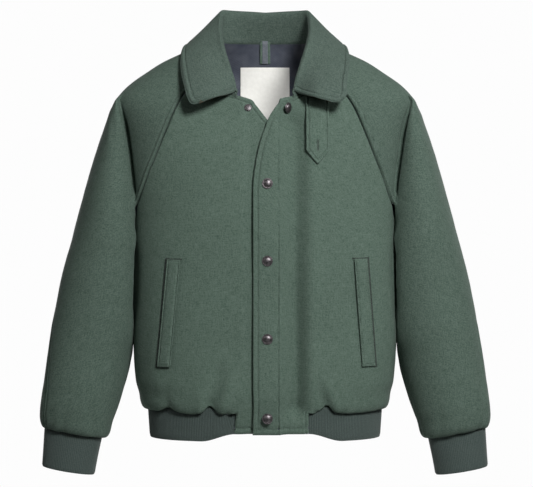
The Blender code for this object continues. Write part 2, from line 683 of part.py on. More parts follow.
def rib_angle(x):
    return math.asin((x / RIB["side"]) ** (RIB["square"] / 2))


def outward(grid):
    """Grid normals, turned to point away from the vertical axis through the grid's middle."""
    normal = grid_normals(grid)
    middle = grid.reshape(-1, 3).mean(axis=0)
    if ((grid - middle)[..., :2] * normal[..., :2]).sum() < 0:
        normal = -normal
    return normal


# ---------------------------------------------------------------- sleeves and cuffs

def overarm_angle(z, face):
    """The overarm seam turns towards the front on the lower sleeve."""
    turn = OVERARM_TURN * ease((OVERARM_TURN_TOP_Z - z) / 0.20)
    return turn if face == "front" else -turn


def sleeve_fractions(fold):
    body = np.linspace(0, fold, SLEEVE_FOLD_COLUMNS + 1)[:-1]
    return np.concatenate((body, np.linspace(fold, 1, SLEEVE_ARM_COLUMNS + 1)))


def tilt_row(row, sizes, z, mirror):
    """Lean a sleeve's section so that it stays square to the arm."""
    centre = sizes["outer"](z) - sizes["width"](z) / 2
    row[:, 2] += sizes["tilt"](z) * (row[:, 0] * mirror - centre)
    return row


def sleeve_curl(face, mirror, step):
    """A row of the roll over the cuff."""
    drop, over, tuck = curl(step)
    z = SLEEVE_CURL_TOP_Z + (SLEEVE_CURL_Z - SLEEVE_CURL_TOP_Z) * drop
    overarm = overarm_angle(SLEEVE_CURL_TOP_Z, face)
    wide = arm_line(ARM, SLEEVE_CURL_TOP_Z, face, math.pi, overarm)
    narrow = arm_line(CUFF, CUFF_ROWS[0][0], face, math.pi, overarm)
    inside = inset(narrow, face, RIB_WALL)
    line = (wide * over + narrow * (1 - over)) * (1 - tuck) + inside * tuck
    fractions = sleeve_fractions(SLEEVE_FOLD)
    row = place(cut_line(line, fractions, (SEAM_GAP / 2, SEAM_GAP)), z, face, mirror)
    return tilt_row(row, CUFF, CUFF_ROWS[0][0], mirror)


def inset(line, face, amount):
    """Move an oval's outline towards its middle."""
    middle = CUFF["outer"](CUFF_ROWS[0][0]) - CUFF["width"](CUFF_ROWS[0][0]) / 2
    drift = CUFF["drift"](CUFF_ROWS[0][0]) * (-1 if face == "front" else 1)
    away = line - (middle, drift)
    return line - away / np.linalg.norm(away, axis=1, keepdims=True) * amount


def add_sleeve_half(wearer_side, face, colour):
    mirror = 1 if wearer_side == "left" else -1
    heights = [SLEEVE_TOP_Z if face == "front" else NECK_Z] + SLEEVE_HEIGHTS
    rows = []
    for z in heights:
        line, fold = sleeve_line(z, face, overarm_angle(z, face))
        points = cut_line(line, sleeve_fractions(fold), (fold_gap(z), SEAM_GAP))
        row = place(points, z, face, mirror)
        rows.append(tilt_row(row, ARM, z, mirror) if z < UNDERARM_Z else row)
    rows += [sleeve_curl(face, mirror, step) for step in range(1, CURL_STEPS + 1)]
    grid = orient(np.array(rows), mirror, face)
    seam = 0 if mirror * (-1 if face == "front" else 1) > 0 else -1
    facing = seam_facing(grid, heights, face, mirror, seam)
    return cloth_wall(f"sleeve_{face}_{wearer_side}", grid, WALL, colour, facing=facing)


def add_cuff(wearer_side, colour):
    mirror = 1 if wearer_side == "left" else -1
    fractions = np.linspace(0, 1, CUFF_COLUMNS_HALF + 1)
    rows = []
    for z in CUFF_HEIGHTS:
        halves = []
        for face in ("front", "back"):
            line = arm_line(CUFF, z, face, math.pi, 0)
            halves.append(place(cut_line(line, fractions, (0, 0)), z, face, mirror))
        front, back = halves
        rows.append(tilt_row(np.concatenate((front, back[-2:0:-1])), CUFF, z, mirror))
    grid = np.array(rows)
    if mirror < 0:
        grid = grid[:, ::-1]
    grid[..., 2] -= 2 * SEAM_GAP
    return cloth_wall("cuff_" + wearer_side, grid, RIB_WALL, colour, wrap=True)


# ---------------------------------------------------------------- what lies on the panels

def front_point(x, z):
    """A point on the front of the form, and the way it faces, with the placket's step."""
    def at(px, pz):
        side, depth, square = torso_size(pz, "front")
        y = -depth * (1 - (abs(px) / side) ** square) ** (1 / square)
        return np.array([px, y, pz])
    here = at(x, z)
    normal = np.cross(at(x + MM, z) - here, at(x, z + MM) - here)
    return here, normal / np.linalg.norm(normal)


def relief_at(x, z, wearer_side):
    """How far the cloth of a front stands out from the form at one point."""
    x, z = np.array([x]), np.array([z])
    return (lap_relief(x, wearer_side) + fold_relief("front", x, z))[0]


def laid_on_front(name, outline_rows, lift, thickness, colour, wearer_side):
    """A flat trim: rows of (x, z) points moved out from the front they lie on."""
    grid = []
    facing = []
    for row in outline_rows:
        line = []
        normals = []
        for x, z in row:
            point, normal = front_point(x, z)
            line.append(point + normal * (relief_at(x, z, wearer_side) + lift + thickness))
            normals.append(normal)
        grid.append(line)
        facing.append(normals)
    return cloth_wall(name, np.array(grid), thickness, colour, facing=np.array(facing))


def add_pocket_welt(wearer_side, colour):
    mirror = 1 if wearer_side == "left" else -1
    rows = []
    for t in np.linspace(0, 1, 10):
        x = WELT_TOP[0] + (WELT_BOTTOM[0] - WELT_TOP[0]) * t
        z = WELT_TOP[1] + (WELT_BOTTOM[1] - WELT_TOP[1]) * t
        across = np.linspace(-WELT_WIDTH / 2, WELT_WIDTH / 2, 4)
        rows.append([(mirror * (x + a), z + 0.02 * a) for a in across])
    return laid_on_front("pocket_welt_" + wearer_side, rows, LAYER_GAP, WELT_WALL, colour, wearer_side)


def add_throat_tab(colour):
    rows = []
    for z in TAB_HEIGHTS:
        share = 1.0 if z >= TAB_SHOULDER_Z else max(0.12, (z - TAB_TIP_Z) / (TAB_SHOULDER_Z - TAB_TIP_Z))
        half = TAB_WIDTH / 2 * share
        rows.append([(TAB_X + a, z) for a in np.linspace(-half, half, 5)])
    return laid_on_front("throat_tab", rows, TAB_LIFT, TAB_WALL, colour, "left")


def add_button(name, x, z, wearer_side, radius, rim, dome, colour, lift=LAYER_GAP):
    """A turned cap with a low dome, standing on the front."""
    point, normal = front_point(x, z)
    base = point + normal * (relief_at(x, z, wearer_side) + lift)
    across = np.cross(normal, (0, 0, 1))
    across /= np.linalg.norm(across)
    up = np.cross(across, normal)
    profile = [(radius, 0.0), (radius, rim * 0.6), (radius * 0.94, rim)]
    profile += [(radius * 0.60, rim + dome * 0.55), (radius * 0.28, rim + dome)]
    sides = BUTTON_SIDES
    vertices = []
    for r, h in profile:
        for k in range(sides):
            turn = 2 * math.pi * k / sides
            vertices.append(base + normal * h + (across * math.cos(turn) + up * math.sin(turn)) * r)
    faces = [tuple(range(sides)), tuple(reversed(range(len(vertices) - sides, len(vertices))))]
    for ring in range(len(profile) - 1):
        for k in range(sides):
            a, b = ring * sides + k, ring * sides + (k + 1) % sides
            faces.append((a, a + sides, b + sides, b))
    return add_object(name, vertices, faces, colour, roughness=0.35, metallic=0.8)


# ---------------------------------------------------------------- collar

def neckline(parts):
    """Points along half the neckline, from the collar's front end to the centre back."""
    line = []
    for z in np.linspace(-0.0655, NECK_Z - 0.0002, 60):
        angle = min(neck_angle(z, "front", "left"), math.pi / 2)
        side, depth, square = torso_size(z, "front")
        x, y = oval(side, depth, square, angle)
        line.append((x, -y, z))
    side, depth, square = torso_size(NECK_Z, "back")
    for angle in np.linspace(math.pi / 2, 0, 60):
        x, y = oval(side, depth, square, angle)
        line.append((x, y, NECK_Z))
    return cut_line(np.array(line), parts, (0, 0))


def collar_profile(neck, part):
    """One cross-section: up the stand, over the roll and down the fall, on the side that shows."""
    roll = np.array([COLLAR[k](part) for k in ("roll_x", "roll_y", "roll_z")])
    edge = np.array([COLLAR[k](part) for k in ("edge_x", "edge_y", "edge_z")])
    out = (edge - roll) * (1, 1, 0)
    out /= np.linalg.norm(out)
    up = np.array([0, 0, 1.0])
    radius = ROLL_RADIUS * (0.6 + 0.4 * ease(part / 0.2))
    start = neck - out * (COLLAR_WALL + 3 * SEAM_GAP) + up * 4 * SEAM_GAP
    rolled_in = roll - out * radius - up * radius
    rolled_out = roll + out * radius - up * radius * 0.8
    swell = np.cross(np.cross(out, up), edge - rolled_out)
    swell /= -np.linalg.norm(swell)
    if swell[2] < 0:
        swell = -swell
    middle = (rolled_out + edge) / 2 + swell * FALL_SWELL
    guide = np.array([start, (start + rolled_in) / 2, rolled_in, roll, rolled_out, middle, edge])
    run = length_along(guide)
    curve = [smooth(run, guide[:, k]) for k in range(3)]
    stand, roll_over, fall = COLLAR_STEPS
    at = np.concatenate((np.linspace(0, run[2], stand + 1)[:-1],
                         np.linspace(run[2], run[4], roll_over + 1)[:-1],
                         np.linspace(run[4], run[6], fall + 1)))
    return np.stack([c(at) for c in curve], axis=1)


def add_collar(colour):
    half = [collar_profile(neck, part) for neck, part in zip(neckline(COLLAR_PARTS), COLLAR_PARTS)]
    mirrored = [row * (-1, 1, 1) for row in half]
    grid = np.array(half[:-1] + mirrored[::-1])
    normal = grid_normals(grid)
    if normal[len(half) - 1, -2, 1] < 0:        # the fall at the centre back faces backwards
        normal = -normal
    normal[:, 0, 2] = 0.0        # the seam's edge is level, so it stands on the panels' edges
    normal[:, 0] /= np.linalg.norm(normal[:, 0], axis=1, keepdims=True)
    return cloth_wall("collar", grid, COLLAR_WALL, colour, facing=normal)


# ---------------------------------------------------------------- inside the back neck

def back_point(x, z):
    side, depth, square = torso_size(z, "back")
    return np.array([x, depth * (1 - (abs(x) / side) ** square) ** (1 / square), z])


def laid_inside_back(name, rows, inset_depth, thickness, colour):
    """A sheet on the inside of the back: rows of (x, z), inset from the outer form."""
    grid = np.array([[back_point(x, z) for x, z in row] for row in rows])
    facing = grid_normals(grid)
    if facing[..., 1].sum() > 0:
        facing = -facing
    return cloth_wall(name, grid + facing * (inset_depth + thickness), thickness, colour, facing=facing)


def add_lining(colour):
    rows = []
    for z in LINING_HEIGHTS:
        half = 0.90 * RAGLAN["back"](z)
        rows.append([(x, z) for x in np.linspace(-half, half, 13)])
    return laid_inside_back("lining", rows, WALL + 2 * LAYER_GAP, LINING_WALL, colour)


def add_label(colour):
    across = np.linspace(-LABEL_WIDTH / 2, LABEL_WIDTH / 2, 7)
    rows = [[(x, z) for x in across] for z in np.linspace(LABEL_TOP_Z, LABEL_BOTTOM_Z, 5)]
    inset_depth = WALL + 3.5 * LAYER_GAP + LINING_WALL
    return laid_inside_back("neck_label", rows, inset_depth, LABEL_WALL, colour)


def add_hanger_loop(colour):
    across = np.linspace(-LOOP_WIDTH / 2, LOOP_WIDTH / 2, 3)
    rows = [[(x, z) for x in across] for z in np.linspace(LOOP_TOP_Z, LOOP_BOTTOM_Z, 5)]
    inset_depth = WALL + 3.5 * LAYER_GAP + LINING_WALL
    return laid_inside_back("hanger_loop", rows, inset_depth, LOOP_WALL, colour)


# ---------------------------------------------------------------- the jacket

def clear_scene():
    for obj in list(bpy.data.objects):
        bpy.data.objects.remove(obj, do_unlink=True)


def build():
    clear_scene()
    add_back(MELTON)
    for wearer_side in ("left", "right"):
        add_front(wearer_side, MELTON)
        add_pocket_welt(wearer_side, MELTON)
        for face in ("front", "back"):
            add_sleeve_half(wearer_side, face, MELTON)
        add_cuff(wearer_side, RIB_GREEN)
    add_hem_rib(RIB_GREEN)
    add_collar(MELTON)
    add_throat_tab(MELTON)
    for number, z in enumerate(SNAP_HEIGHTS, start=2):
        add_button(f"snap_{number}", SNAP_X, z, "left", SNAP_RADIUS, SNAP_RIM, SNAP_DOME, GUNMETAL)
    add_button("snap_1", *TOP_SNAP, "left", SNAP_RADIUS, SNAP_RIM, SNAP_DOME, GUNMETAL, NECK_LIFT)
    add_button("snap_socket", *SOCKET, "right", SOCKET_RADIUS, SOCKET_RIM, SOCKET_DOME, GUNMETAL, NECK_LIFT)
    add_lining(SATIN)
    add_label(CREAM)
    add_hanger_loop(MELTON)


build()
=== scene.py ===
"""Looks of the wool bomber jacket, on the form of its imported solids.

Each cloth piece is a thin shell: an outer grid of points on the garment's form, with its creases,
seam rolls and stitch grooves, and an inner grid one wall inside it. Metres, +Z up, the front
towards -Y, the origin at the base of the neck. "left" and "right" are the wearer's own, so the left
side lies at +X. Every piece can be made by itself from the panel in the 3D view's sidebar.
"""
import math

import bpy
import numpy as np
from mathutils import Matrix, Vector
from mathutils.kdtree import KDTree


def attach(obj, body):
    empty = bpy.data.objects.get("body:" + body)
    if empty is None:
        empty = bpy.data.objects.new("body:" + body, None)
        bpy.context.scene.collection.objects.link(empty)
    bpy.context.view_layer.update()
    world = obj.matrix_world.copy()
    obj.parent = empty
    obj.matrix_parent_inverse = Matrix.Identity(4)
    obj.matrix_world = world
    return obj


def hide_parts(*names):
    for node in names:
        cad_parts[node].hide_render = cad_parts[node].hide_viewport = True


bl_info = {
    "name": "Wool bomber jacket",
    "version": (1, 0, 0),
    "blender": (4, 5, 0),
    "location": "3D View > Sidebar > Jacket",
    "description": "Cloth shells, sewing and trims of a ribbed wool blouson",
    "category": "Object",
}

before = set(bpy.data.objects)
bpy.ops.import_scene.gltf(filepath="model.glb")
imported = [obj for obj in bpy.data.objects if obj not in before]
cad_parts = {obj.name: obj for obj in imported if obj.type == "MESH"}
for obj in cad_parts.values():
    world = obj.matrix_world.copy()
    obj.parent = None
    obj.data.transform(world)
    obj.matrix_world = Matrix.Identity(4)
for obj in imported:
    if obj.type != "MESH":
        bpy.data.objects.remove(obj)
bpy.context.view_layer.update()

MM = 0.001
SIDES = ("left", "right")
BLACK = (0, 0, 0, 1)
WHITE = (1, 1, 1, 1)

# ---- sizes of the solids

WALL = 3.0 * MM
RIB_WALL = 2.6 * MM
COLLAR_WALL = 4.0 * MM
SEAM_GAP = 0.3 * MM
LAYER_GAP = 0.5 * MM
SLEEVE_CLEARANCE = 1.2 * MM

UNDERARM_Z = -0.290
DIVE_Z = -0.250
NECK_Z = 0.036
SHOULDER_TIP_Z = -0.064
BULGE_TOP_Z = -0.548
BULGE_Z = -0.5725
HEM_Z = -0.6185
STRIP_HEM_Z = -0.606
BLOUSE = 14.0 * MM  # the body hangs out this far past the rib
LAST_STRAIGHT_Z = -0.530  # below this row the body curls under, over the rib

PLACKET_LEAD = 0.019
UNDERLAP = 0.020
STRIP_LEFT = 0.0695
STRIP_RIGHT = 0.0475
LAP_REACH = 0.034  # the fronts lie on each other this far from the centre line
LAP_OUT = 3.2 * MM  # there the left front stands out
LAP_IN = 1.9 * MM  # and the right one sinks in
LAP_FADE_IN = 10.0 * MM  # the step starts this far inside the reach
LAP_FADE = 14.0 * MM

# Sections are squared ovals: square is their exponent, 2 for an ellipse. Sizes are half sizes here,
# and whole ones in the sleeves' tables, whose outer is the x of the outside.
TORSO_COLUMNS = ("z", "side", "front", "back", "square")
TORSO_ROWS = [
    (0.0360, 0.0880, 0.0320, 0.0790, 2.20),
    (0.0260, 0.1020, 0.0400, 0.0825, 2.20),
    (0.0165, 0.1230, 0.0470, 0.0855, 2.25),
    (0.0065, 0.1450, 0.0540, 0.0890, 2.30),
    (-0.0032, 0.1660, 0.0610, 0.0930, 2.35),
    (-0.0230, 0.1960, 0.0735, 0.1000, 2.45),
    (-0.0430, 0.2240, 0.0845, 0.1070, 2.60),
    (-0.0640, 0.2425, 0.0940, 0.1125, 2.85),
    (-0.0750, 0.2445, 0.0980, 0.1145, 2.95),
    (-0.1100, 0.2380, 0.1085, 0.1195, 2.75),
    (-0.1500, 0.2300, 0.1170, 0.1235, 2.60),
    (-0.1920, 0.2232, 0.1230, 0.1255, 2.60),
    (-0.2324, 0.2185, 0.1265, 0.1255, 2.60),
    (-0.2746, 0.2162, 0.1285, 0.1245, 2.60),
    (-0.3280, 0.2165, 0.1285, 0.1225, 2.60),
    (-0.4000, 0.2170, 0.1275, 0.1205, 2.60),
    (-0.4550, 0.2165, 0.1275, 0.1200, 2.60),
    (-0.5000, 0.2145, 0.1285, 0.1210, 2.60),
    (-0.5380, 0.2110, 0.1290, 0.1215, 2.60),
    (-0.5560, 0.2075, 0.1280, 0.1205, 2.60),
]
RIB = {"side": 0.1925, "front": 0.1165, "back": 0.1125, "square": 2.5}
STRIP_FRONT = 0.1180
BODY_SQUARE = 2.60

ARM_COLUMNS = ("z", "outer", "width", "depth", "drift", "tilt")
ARM_ROWS = [
    (-0.064, 0.2425, 0.0040, 0.104, 0.000, 0.00),
    (-0.075, 0.2495, 0.0170, 0.112, 0.000, 0.00),
    (-0.110, 0.2643, 0.0480, 0.128, 0.000, 0.00),
    (-0.150, 0.2780, 0.0690, 0.140, 0.000, 0.00),
    (-0.200, 0.2926, 0.0915, 0.152, 0.000, 0.00),
    (-0.250, 0.3066, 0.1120, 0.158, 0.000, 0.00),
    (-0.300, 0.3191, 0.1270, 0.157, -0.001, 0.01),
    (-0.350, 0.3317, 0.1410, 0.150, -0.003, 0.04),
    (-0.400, 0.3420, 0.1455, 0.141, -0.006, 0.08),
    (-0.450, 0.3505, 0.1420, 0.132, -0.010, 0.12),
    (-0.470, 0.3535, 0.1370, 0.129, -0.011, 0.135),
    (-0.500, 0.3580, 0.1350, 0.124, -0.013, 0.155),
    (-0.530, 0.3620, 0.1310, 0.120, -0.015, 0.17),
    (-0.560, 0.3660, 0.1270, 0.116, -0.016, 0.185),
    (-0.580, 0.3685, 0.1225, 0.112, -0.017, 0.19),
    (-0.595, 0.3700, 0.1180, 0.106, -0.017, 0.19),
]
CUFF_ROWS = [
    (-0.619, 0.3590, 0.0890, 0.060, -0.018, 0.19),
    (-0.650, 0.3610, 0.0840, 0.059, -0.018, 0.19),
    (-0.677, 0.3630, 0.0810, 0.057, -0.018, 0.19),
]
CUFF_TOP_Z = CUFF_ROWS[0][0]
CUFF_BOTTOM_Z = CUFF_ROWS[-1][0]
SLEEVE_CURL_Z = -0.6185
SLEEVE_CURL_TOP_Z = -0.595
LAST_SLEEVE_Z = -0.592

RAGLAN_COLUMNS = ("z", "front", "back")
RAGLAN_ROWS = [
    (0.0360, 0.0860, 0.0600),
    (-0.0120, 0.0860, 0.0830),
    (-0.0400, 0.1100, 0.1060),
    (-0.0613, 0.1276, 0.1240),
    (-0.0773, 0.1385, 0.1360),
    (-0.1242, 0.1600, 0.1600),
    (-0.1609, 0.1755, 0.1770),
    (-0.1893, 0.1880, 0.1900),
    (-0.2190, 0.1990, 0.2010),
    (-0.2500, 0.2110, 0.2130),
]
EDGE_COLUMNS = ("z", "left", "right")
EDGE_ROWS = [
    (-0.2100, -PLACKET_LEAD, -UNDERLAP),
    (-0.1980, -0.0180, -UNDERLAP),
    (-0.1430, -0.0080, -UNDERLAP),
    (-0.1200, 0.0000, -0.0170),
    (-0.1040, 0.0055, -0.0030),
    (-0.0810, 0.0207, 0.0144),
    (-0.0705, 0.0290, 0.0250),
    (-0.0660, 0.0460, 0.0440),
    (-0.0600, 0.0575, 0.0575),
    (-0.0400, 0.0700, 0.0700),
    (-0.0200, 0.0785, 0.0785),
    (-0.0120, 0.0815, 0.0815),
    (0.0000, 0.0850, 0.0850),
    (0.0150, 0.0875, 0.0875),
    (0.0300, 0.0885, 0.0885),
    (0.0360, 0.0880, 0.0880),
]
FOLD_COLUMNS = ("face", "x0", "z0", "x1", "z1", "width", "depth")
FOLDS = [
    ("front", 0.046, -0.29, 0.052, -0.56, 0.012, -5.0 * MM),
    ("front", -0.06, -0.51, -0.088, -0.575, 0.009, -6.0 * MM),
    ("front", 0.083, -0.53, 0.098, -0.575, 0.009, -6.0 * MM),
    ("front", -0.168, -0.545, -0.15, -0.575, 0.008, -4.0 * MM),
    ("back", -0.105, -0.5, -0.09, -0.575, 0.01, -5.0 * MM),
    ("back", 0.02, -0.52, 0.032, -0.575, 0.01, -5.0 * MM),
    ("back", 0.125, -0.505, 0.11, -0.575, 0.01, -5.0 * MM),
]

COLLAR_COLUMNS = ("part", "roll_x", "roll_y", "roll_z", "edge_x", "edge_y", "edge_z")
COLLAR_ROWS = [
    (0.00, 0.0470, -0.0985, -0.0590, 0.0985, -0.1130, -0.0785),
    (0.02, 0.0482, -0.0960, -0.0530, 0.1085, -0.1125, -0.0815),
    (0.05, 0.0503, -0.0920, -0.0440, 0.1170, -0.1100, -0.0790),
    (0.08, 0.0525, -0.0885, -0.0350, 0.1220, -0.1060, -0.0690),
    (0.14, 0.0580, -0.0790, -0.0190, 0.1260, -0.0995, -0.0560),
    (0.30, 0.0700, -0.0460, 0.0215, 0.1345, -0.0740, -0.0210),
    (0.45, 0.0750, -0.0020, 0.0560, 0.1375, -0.0400, 0.0050),
    (0.55, 0.0750, 0.0240, 0.0740, 0.1350, 0.0000, 0.0210),
    (0.68, 0.0690, 0.0450, 0.0885, 0.1180, 0.0560, 0.0260),
    (0.84, 0.0380, 0.0590, 0.0880, 0.0720, 0.0930, 0.0230),
    (1.00, 0.0000, 0.0640, 0.0862, 0.0000, 0.1080, 0.0180),
]
FALL_COLUMN = 24  # from this column outwards the collar is backed with felt
FELT_SHOW = 1.6 * MM  # the felt shows this much past the rolled edge
LEAF_CORNER = (0.122, -0.110, -0.074)  # of the left leaf, which is shifted this far round it
LEAF_REACH = 0.026
LEAF_FREE_X = 0.046  # beyond this and below the next the leaves are free
LEAF_FREE_Z = -0.005
LEAF_FADE = 0.040
LEAF_SHIFT = (6.5 * MM, 0.0, 4.0 * MM)
LEAF_FORWARD = 20.0 * MM  # the front of both leaves stands away from the chest
ROLL_RADIUS = 6.0 * MM
FALL_SWELL = 7.0 * MM

WELT_ENDS = {"right": ((0.1435, -0.3285), (0.1595, -0.4995)),  # top and bottom, x then z
             "left": ((0.1510, -0.3270), (0.1640, -0.4985))}
WELT_WIDTH = 0.0212
WELT_WALL = 2.6 * MM
WELT_LIFT = 2.6 * MM
SNAP_RADIUS = 8.5 * MM
SNAP_RIM = 1.4 * MM
SNAP_DOME = 3.0 * MM
SNAP_X = 0.0040
SNAP_HEIGHTS = (-0.2085, -0.3305, -0.4540, -0.5795)
TOP_SNAP = (0.0370, -0.0880)
SOCKET = (-0.0270, -0.0860)
SOCKET_RADIUS = 6.0 * MM
SOCKET_RIM = 1.6 * MM
NECK_LIFT = 0.4 * MM
TOP_SNAP_LIFT = 4.0 * MM
TOP_SNAP_LEAN = math.radians(60)  # the open top snap is seen half from the side
SNAP_LEAN_AXIS = (0.42, 0.0, 0.90)
TAB_X = 0.0835
TAB_WIDTH = 0.037
TAB_TOP_Z = -0.066
TAB_SHOULDER_Z = -0.155
TAB_TIP_Z = -0.177
TAB_WALL = 3.4 * MM
TAB_LIFT = 2.0 * MM
LINING_WALL = 1.2 * MM
LINING_TOP_Z = 0.0352
LINING_NECK_HALF = 0.083  # at the neck the lining reaches round the sides
LINING_BOTTOM_Z = -0.200
LABEL_WIDTH = 0.084
LABEL_TOP_Z = -0.002
LABEL_BOTTOM_Z = -0.094
LABEL_WALL = 0.8 * MM
LOOP_WIDTH = 0.018
LOOP_TOP_Z = 0.0395
LOOP_BOTTOM_Z = 0.0040
LOOP_WALL = 1.6 * MM

RAGLAN_TOP_Z = -0.012
NECK_CORNER_TOP_Z = -0.058  # between these the neckline turns into the front edge
NECK_CORNER_Z = -0.084
SLEEVE_TOP_Z = 0.032
SLEEVE_CALM_Z = 0.020  # above this the sleeves are even, as the collar's seam holds them
SLEEVE_FOLD = 0.30  # share of a sleeve's outline before the fold
FOLD_TOP_DEPTH = 0.048  # depth of the fold's line above the tip of the shoulder
FOLD_START_Z = -0.070
FOLD_END_Z = -0.246
CONTACT_END_Z = -0.445
CURL_ROUND = 0.75  # share of a roll's rows that go round before the rest tuck in
CURL_LEFT = 0.35  # share of the overhang that is left there
OVERARM_TURN_TOP_Z = -0.380
OVERARM_TURN = math.radians(32)
END_RISE = 4.8 * MM  # a sleeve's lower end rises this much from its solid
END_RISE_INNER = 2.6 * MM  # and its inner side this much more
END_RISE_TOP_Z = -0.500
SLEEVE_OUTER_X = 0.370
SLEEVE_SPAN = 0.120
CUFF_LONGER = 2.4 * MM  # the cuff's bottom edge drops by this
CUFF_LONGER_TOP_Z = -0.620
SLANT = 5.0 * MM  # half the slant of the strip's join with the hem rib
SLANT_Z = -0.588
SLANT_REACH = 0.022  # each side of the join
SLANT_LEFT = 0.25  # share of the slant on the left, where it is less
FOLD_GAP = 0.8 * MM  # the front raglan seam opens this much where it turns into the fold
FOLD_GAP_REACH = 0.060
DIVE_REACH = 0.045  # length of seam on which the back's raglan seams stay level
WAVE_TOP_Z = -0.500  # the hem's waves start here
WAVE_FADE = 0.062
RIB_SEWN_IN = 1.6 * MM  # the hem rib's top edge goes this far into the roll's underside
RIB_TUCK = 6.0 * MM  # the rib's ends reach this far behind the front strips
STAND_SEWN_IN = 5.0 * MM  # the collar stand's lower edge goes this far below the neckline, inside
RIB_END_RISE = 12.5 * MM  # the rib's bottom edge rises to the strips at the front
RIB_END_REACH = 0.055  # over this length from each end
HEM_DRAWN_IN = 0.012  # the rib's bottom edge is narrower than its top by this share
STRIP_FLAT = 4.0 * MM  # the strip beside the placket stays plain this far past its end
STRIP_FADE = 24.0 * MM  # and the body blouses fully after this length more
COLLAR_START_Z = -0.0655  # the collar's front end on the neckline
COLLAR_FRONT_PART = 0.16  # share of the collar's half that bows towards the viewer

# ---- sizes of the sewing and the cloth

DENSE = 601  # points on an outline before it is cut into columns
ROW_STEP = 3.4 * MM  # between rows of points
CURL_ROWS = 14
SEAM_DIP = 3.0 * MM  # how far a seam pulls the cloth in
SEAM_REACH = 3.6 * MM
GROOVE_DEPTH = 1.5 * MM  # a row of topstitching sinks this far
GROOVE_WIDTH = 1.3 * MM
RAGLAN_SWELL = 1.3 * MM  # the seam allowances pad the cloth between seam and topstitching
PAD_WIDTH = 2.6 * MM
FOLD_DEPTH = 13.0 * MM  # the fold where the hanging sleeve meets the chest
BACK_FOLD = 0.25  # share of it that the back of the sleeve has
FOLD_WIDTH = 3.6 * MM
FOLD_FADE = 0.050
FOLD_BLEND = 0.030  # heights round the end of the fold in which sleeve and fold blend
CONTACT_DEPTH = 3.0 * MM  # below it the sleeve and the body both round away where they touch
CONTACT_WIDER = 7.0 * MM
CONTACT_FADE = 0.040
FOLD_COLUMN = 28  # column of a sleeve's grid that runs along that fold
PLACKET_PROUD = 2.2 * MM  # the folded placket is thicker than the front beside it
PLACKET_STITCH_X = 0.0215  # the long row beside the placket
PLACKET_EDGE = 2.0 * MM  # the folded cloth ends this far beyond that row
PLACKET_FADE = 4.0 * MM
STRIP_STITCH = 5.5 * MM  # row beside the end of the front strip, from the height below
STRIP_STITCH_TOP_Z = -0.560
HEM_STITCH = 10.0 * MM  # row above the bottom edge of the strip
RAGLAN_STITCH = 8.0 * MM
OVERARM_STITCH = 6.0 * MM
UNDERARM_STITCH = 14.0 * MM  # the left underarm seam is turned to the front on the lower sleeve
UNDERARM_STITCH_Z = -0.500
TAB_STITCH = 4.5 * MM
WELT_STITCH = 2.6 * MM
RIB_RELIEF = 0.24 * MM
THREAD_RADIUS = 0.34 * MM
THREAD_SINK = 0.15 * MM
STITCH_RINGS = (  # place along one stitch, thickness and lift of the thread, as shares
    (0.04, 0.35, -1.0), (0.25, 1.0, 0.35), (0.50, 1.0, 0.6), (0.75, 1.0, 0.35), (0.96, 0.35, -1.0))
STITCH_SHARE = 0.74  # of the pitch; the rest is the gap between two stitches
LOOP_BOW = 1.6 * MM  # the hanger loop stands off the lining at its middle
LABEL_STITCH = 2.5 * MM
KNIT_LOOP = 1.6 * MM  # loops along a rib
CUFF_HALF_COLUMNS = 240
HEM_COLUMNS = 2100
BUTTONHOLE_TOP_Z = -0.139
BUTTONHOLE_BOTTOM_Z = -0.157
OPENING_BESIDE = 11.4 * MM  # from a welt's middle to the middle of its pocket's opening
OPENING_WIDTH = 6.2 * MM
OPENING_LIFT = 1.7 * MM
BUTTONHOLE_HALF = 0.7 * MM  # half its width, where the whipped stitches start
WHIP_END = 2.3 * MM
WHIP_STEP = 0.85 * MM

